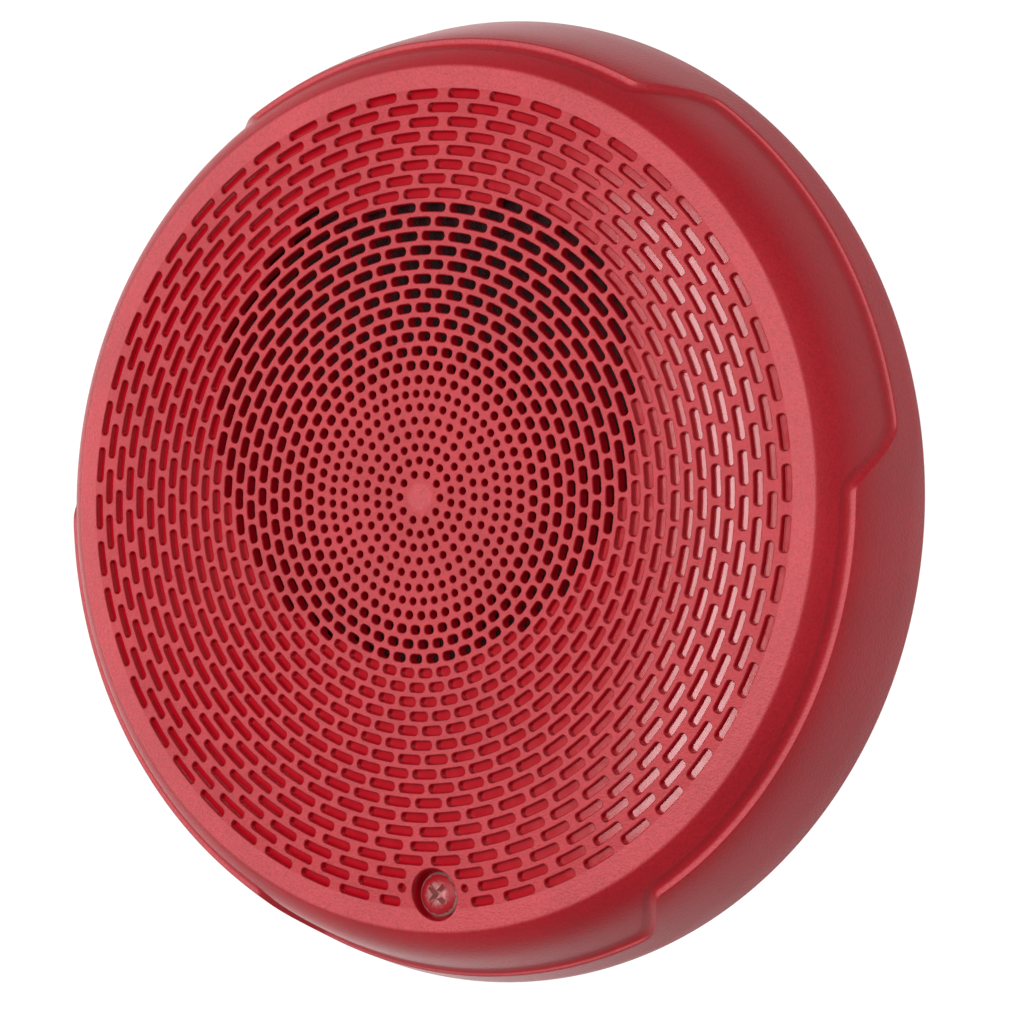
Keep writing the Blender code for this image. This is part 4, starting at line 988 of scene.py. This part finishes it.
LOOKS = {
    "charcoal_plastic": lambda: moulded("charcoal_plastic", (0.035, 0.035, 0.038), 0.5, 0.5 * MM, 0.05 * MM),
    "black_plastic": lambda: moulded("black_plastic", (0.018, 0.018, 0.02), 0.42, 0.35 * MM, 0.03 * MM),
    "blue_plastic": lambda: moulded("blue_plastic", (0.02, 0.09, 0.36), 0.4, 0.35 * MM, 0.02 * MM),
    "white_plastic": lambda: moulded("white_plastic", (0.72, 0.72, 0.68), 0.42, 0.35 * MM, 0.02 * MM),
    "tinned_brass": lambda: plated("tinned_brass", (0.72, 0.58, 0.32), 0.3),
    "zinc": lambda: plated("zinc", (0.62, 0.62, 0.60), 0.32, "x"),
    "plated_steel": lambda: plated("plated_steel", (0.58, 0.56, 0.50), 0.34, "x"),
    # The dark red tint of this black cloth is painted light: red light bounced off the red walls of the
    # openings.
    "black_cloth": lambda: woven("black_cloth", (0.040, 0.004, 0.006), 0.8 * MM, 0.08 * MM),
    "foam": lambda: speckled("foam", (0.035, 0.035, 0.036), 0.9, 0.5 * MM, 0.15 * MM),
    "ferrite": lambda: speckled("ferrite", (0.05, 0.05, 0.055), 0.55, 0.7 * MM, 0.05 * MM),
    "coated_cloth": lambda: woven("coated_cloth", (0.025, 0.025, 0.026), 0.7 * MM, 0.06 * MM),
    "phenolic_cloth": lambda: woven("phenolic_cloth", (0.42, 0.22, 0.06), 0.6 * MM, 0.08 * MM),
    "pressed_paper": lambda: fibrous("pressed_paper", (0.022, 0.022, 0.024)),
    "enamelled_copper": lambda: wound("enamelled_copper", (0.55, 0.20, 0.07), 0.35, 0.25 * MM,
                                      (0.0, SPEAKER_Z)),
    "tan_laminate": lambda: laminate("tan_laminate", (0.36, 0.22, 0.09), 0.6, (0.55, 0.53, 0.48),
                                     4 * MM),
    "green_laminate": lambda: laminate("green_laminate", (0.012, 0.13, 0.05), 0.38, (0.05, 0.26, 0.10),
                                       9 * MM),
    "laminated_steel": lambda: layered("laminated_steel", (0.26, 0.26, 0.27), 0.45, 0.5 * MM, 0.9),
    "yellow_tape": lambda: layered("yellow_tape", (0.68, 0.45, 0.04), 0.42, 1.6 * MM),
    "capacitor_sleeve": lambda: moulded("capacitor_sleeve", (0.012, 0.02, 0.09), 0.28, 1.2 * MM, 0.02 * MM),
    "red_insulation": lambda: moulded("red_insulation", (0.5, 0.02, 0.02), 0.4, 0.8 * MM, 0.02 * MM),
    "black_insulation": lambda: moulded("black_insulation", (0.015, 0.015, 0.015), 0.4, 0.8 * MM, 0.02 * MM),
}


# ---------------------------------------------------------------- the object

def dress_nodes(looks):
    """Gives each CAD node that stays its own slot's look."""
    for part in frame["record"]["subparts"]:
        node = frame["nodes"][part["node"]]
        look = looks[part["material_slot"]]
        if not node.data.materials:
            node.data.materials.append(look)
        for slot in node.material_slots:
            slot.material = look


grained, smooth, painted = red_case(), red_smooth(), red_paint_on_steel()
looks = {slot: make() for slot, make in LOOKS.items()}
looks["red_plastic"] = grained
looks["red_painted_screw"] = painted
dress_nodes(looks)

for piece, body, node, slot in (
    (front_cover(grained, smooth), "front_unit", "front_cover", "red_plastic"),
    (housing_ring(grained), "front_unit", "housing_ring", "red_plastic"),
    (captive_screw(painted), "screw", "captive_screw", "red_painted_screw"),
):
    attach(piece, body)
    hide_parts(node)


# ---------------------------------------------------------------- stage, light and camera

FLOOR_Z = -0.25
FLOOR_R = 2.4
AZIMUTH = 32.27                     # degrees to the right of the face's own axis
ELEVATION = -2.2
DISTANCE = 0.9138                   # camera to hub
AIM = (9.03 * MM, -13.0 * MM, -1.29 * MM)
ROLL = -0.901                       # degrees
LENS = 185.06
SENSOR = 36.0
BACKDROP = 1.05
SOFTBOX = 1.1
SOFTBOX_DISTANCE = 1.6
SOFTBOXES = (                       # name, azimuth, elevation, power and width
    ("key", 20, 8, 16.0, SOFTBOX),
    ("strip", -14, 0, 11.5, 0.3),
    ("left", -65, 8, 4.0, SOFTBOX),
)
WORLD_LIGHT = (                     # azimuth, elevation and strength of each soft side of the studio
    (-35, 0, 0.10), (55, 0, 0.22), (145, 0, 1.45), (-125, 0, 2.7), (0, 90, 0.30), (0, -90, 0.30))


def stage():
    """A plain pale floor, seen by the camera only, so that it leaves the light on the object alone."""
    bm = bmesh.new()
    bmesh.ops.create_circle(bm, cap_ends=True, radius=FLOOR_R, segments=128,
                            matrix=Matrix.Translation((0, 0, FLOOR_Z)))
    floor = thing_of(bm, "floor")
    look = Look("floor_paper", (0.86, 0.86, 0.86), 0.85)
    floor.data.materials.append(look.done(look.shades(look.noise(40 * MM), 0.99, 1.01)))
    floor.visible_diffuse = floor.visible_glossy = floor.visible_shadow = False


def direction(azimuth, elevation):
    """Unit vector towards a place in the studio; azimuth 0 is straight in front of the face."""
    a, e = radians(azimuth), radians(elevation)
    return Vector((sin(a) * cos(e), -cos(a) * cos(e), sin(e)))


def world():
    """White seen directly; as light, each side has its own strength and fades into the next."""
    made = bpy.data.worlds.new("studio")
    bpy.context.scene.world = made
    made.use_nodes = True
    tree = made.node_tree

    def node(kind, operation, first, second):
        new = tree.nodes.new(kind)
        new.operation = operation
        for socket, value in zip(new.inputs, (first, second)):
            if isinstance(value, bpy.types.NodeSocket):
                tree.links.new(value, socket)
            else:
                socket.default_value = value
        return new.outputs["Value"]

    outward = tree.nodes.new("ShaderNodeTexCoord").outputs["Generated"]
    total = 0.0
    for azimuth, elevation, strength in WORLD_LIGHT:
        towards = node("ShaderNodeVectorMath", "DOT_PRODUCT", outward, direction(azimuth, elevation))
        towards = node("ShaderNodeMath", "MAXIMUM", towards, 0.0)
        squared = node("ShaderNodeMath", "MULTIPLY", towards, towards)
        total = node("ShaderNodeMath", "ADD", total, node("ShaderNodeMath", "MULTIPLY", squared, strength))
    backdrop = tree.nodes["Background"]
    backdrop.inputs["Strength"].default_value = BACKDROP
    lighting = tree.nodes.new("ShaderNodeBackground")
    for background in (backdrop, lighting):
        background.inputs["Color"].default_value = (1.0, 1.0, 1.0, 1.0)
    tree.links.new(total, lighting.inputs["Strength"])
    seen = tree.nodes.new("ShaderNodeLightPath")
    mixed = tree.nodes.new("ShaderNodeMixShader")
    tree.links.new(seen.outputs["Is Camera Ray"], mixed.inputs[0])
    tree.links.new(lighting.outputs[0], mixed.inputs[1])
    tree.links.new(backdrop.outputs[0], mixed.inputs[2])
    tree.links.new(mixed.outputs[0], tree.nodes["World Output"].inputs[0])


def softbox(name, azimuth, elevation, power, width):
    """An area light that faces the wall's origin."""
    light = bpy.data.lights.new(name, "AREA")
    light.shape = "RECTANGLE"
    light.size, light.size_y = width, SOFTBOX
    light.energy = power
    lamp = bpy.data.objects.new(name, light)
    bpy.context.collection.objects.link(lamp)
    away = direction(azimuth, elevation)
    lamp.location = away * SOFTBOX_DISTANCE
    lamp.rotation_euler = away.to_track_quat("Z", "Y").to_euler()


def camera():
    data = bpy.data.cameras.new("camera")
    data.lens = LENS
    data.sensor_width = SENSOR
    data.clip_start = 0.01
    made = bpy.data.objects.new("camera", data)
    bpy.context.collection.objects.link(made)
    place = Vector((0, -DEPTH, 0)) + DISTANCE * direction(AZIMUTH, ELEVATION)
    forward = (Vector(AIM) - place).normalized()
    right = forward.cross(Vector((0, 0, 1))).normalized()
    up = right.cross(forward)
    roll = radians(ROLL)
    tilted_right = right * cos(roll) + up * sin(roll)
    tilted_up = up * cos(roll) - right * sin(roll)
    made.matrix_world = Matrix((
        (tilted_right[0], tilted_up[0], -forward[0], place[0]),
        (tilted_right[1], tilted_up[1], -forward[1], place[1]),
        (tilted_right[2], tilted_up[2], -forward[2], place[2]),
        (0, 0, 0, 1)))
    bpy.context.scene.camera = made


stage()
world()
for settings in SOFTBOXES:
    softbox(*settings)
camera()
bpy.context.scene.view_settings.view_transform = "Standard"
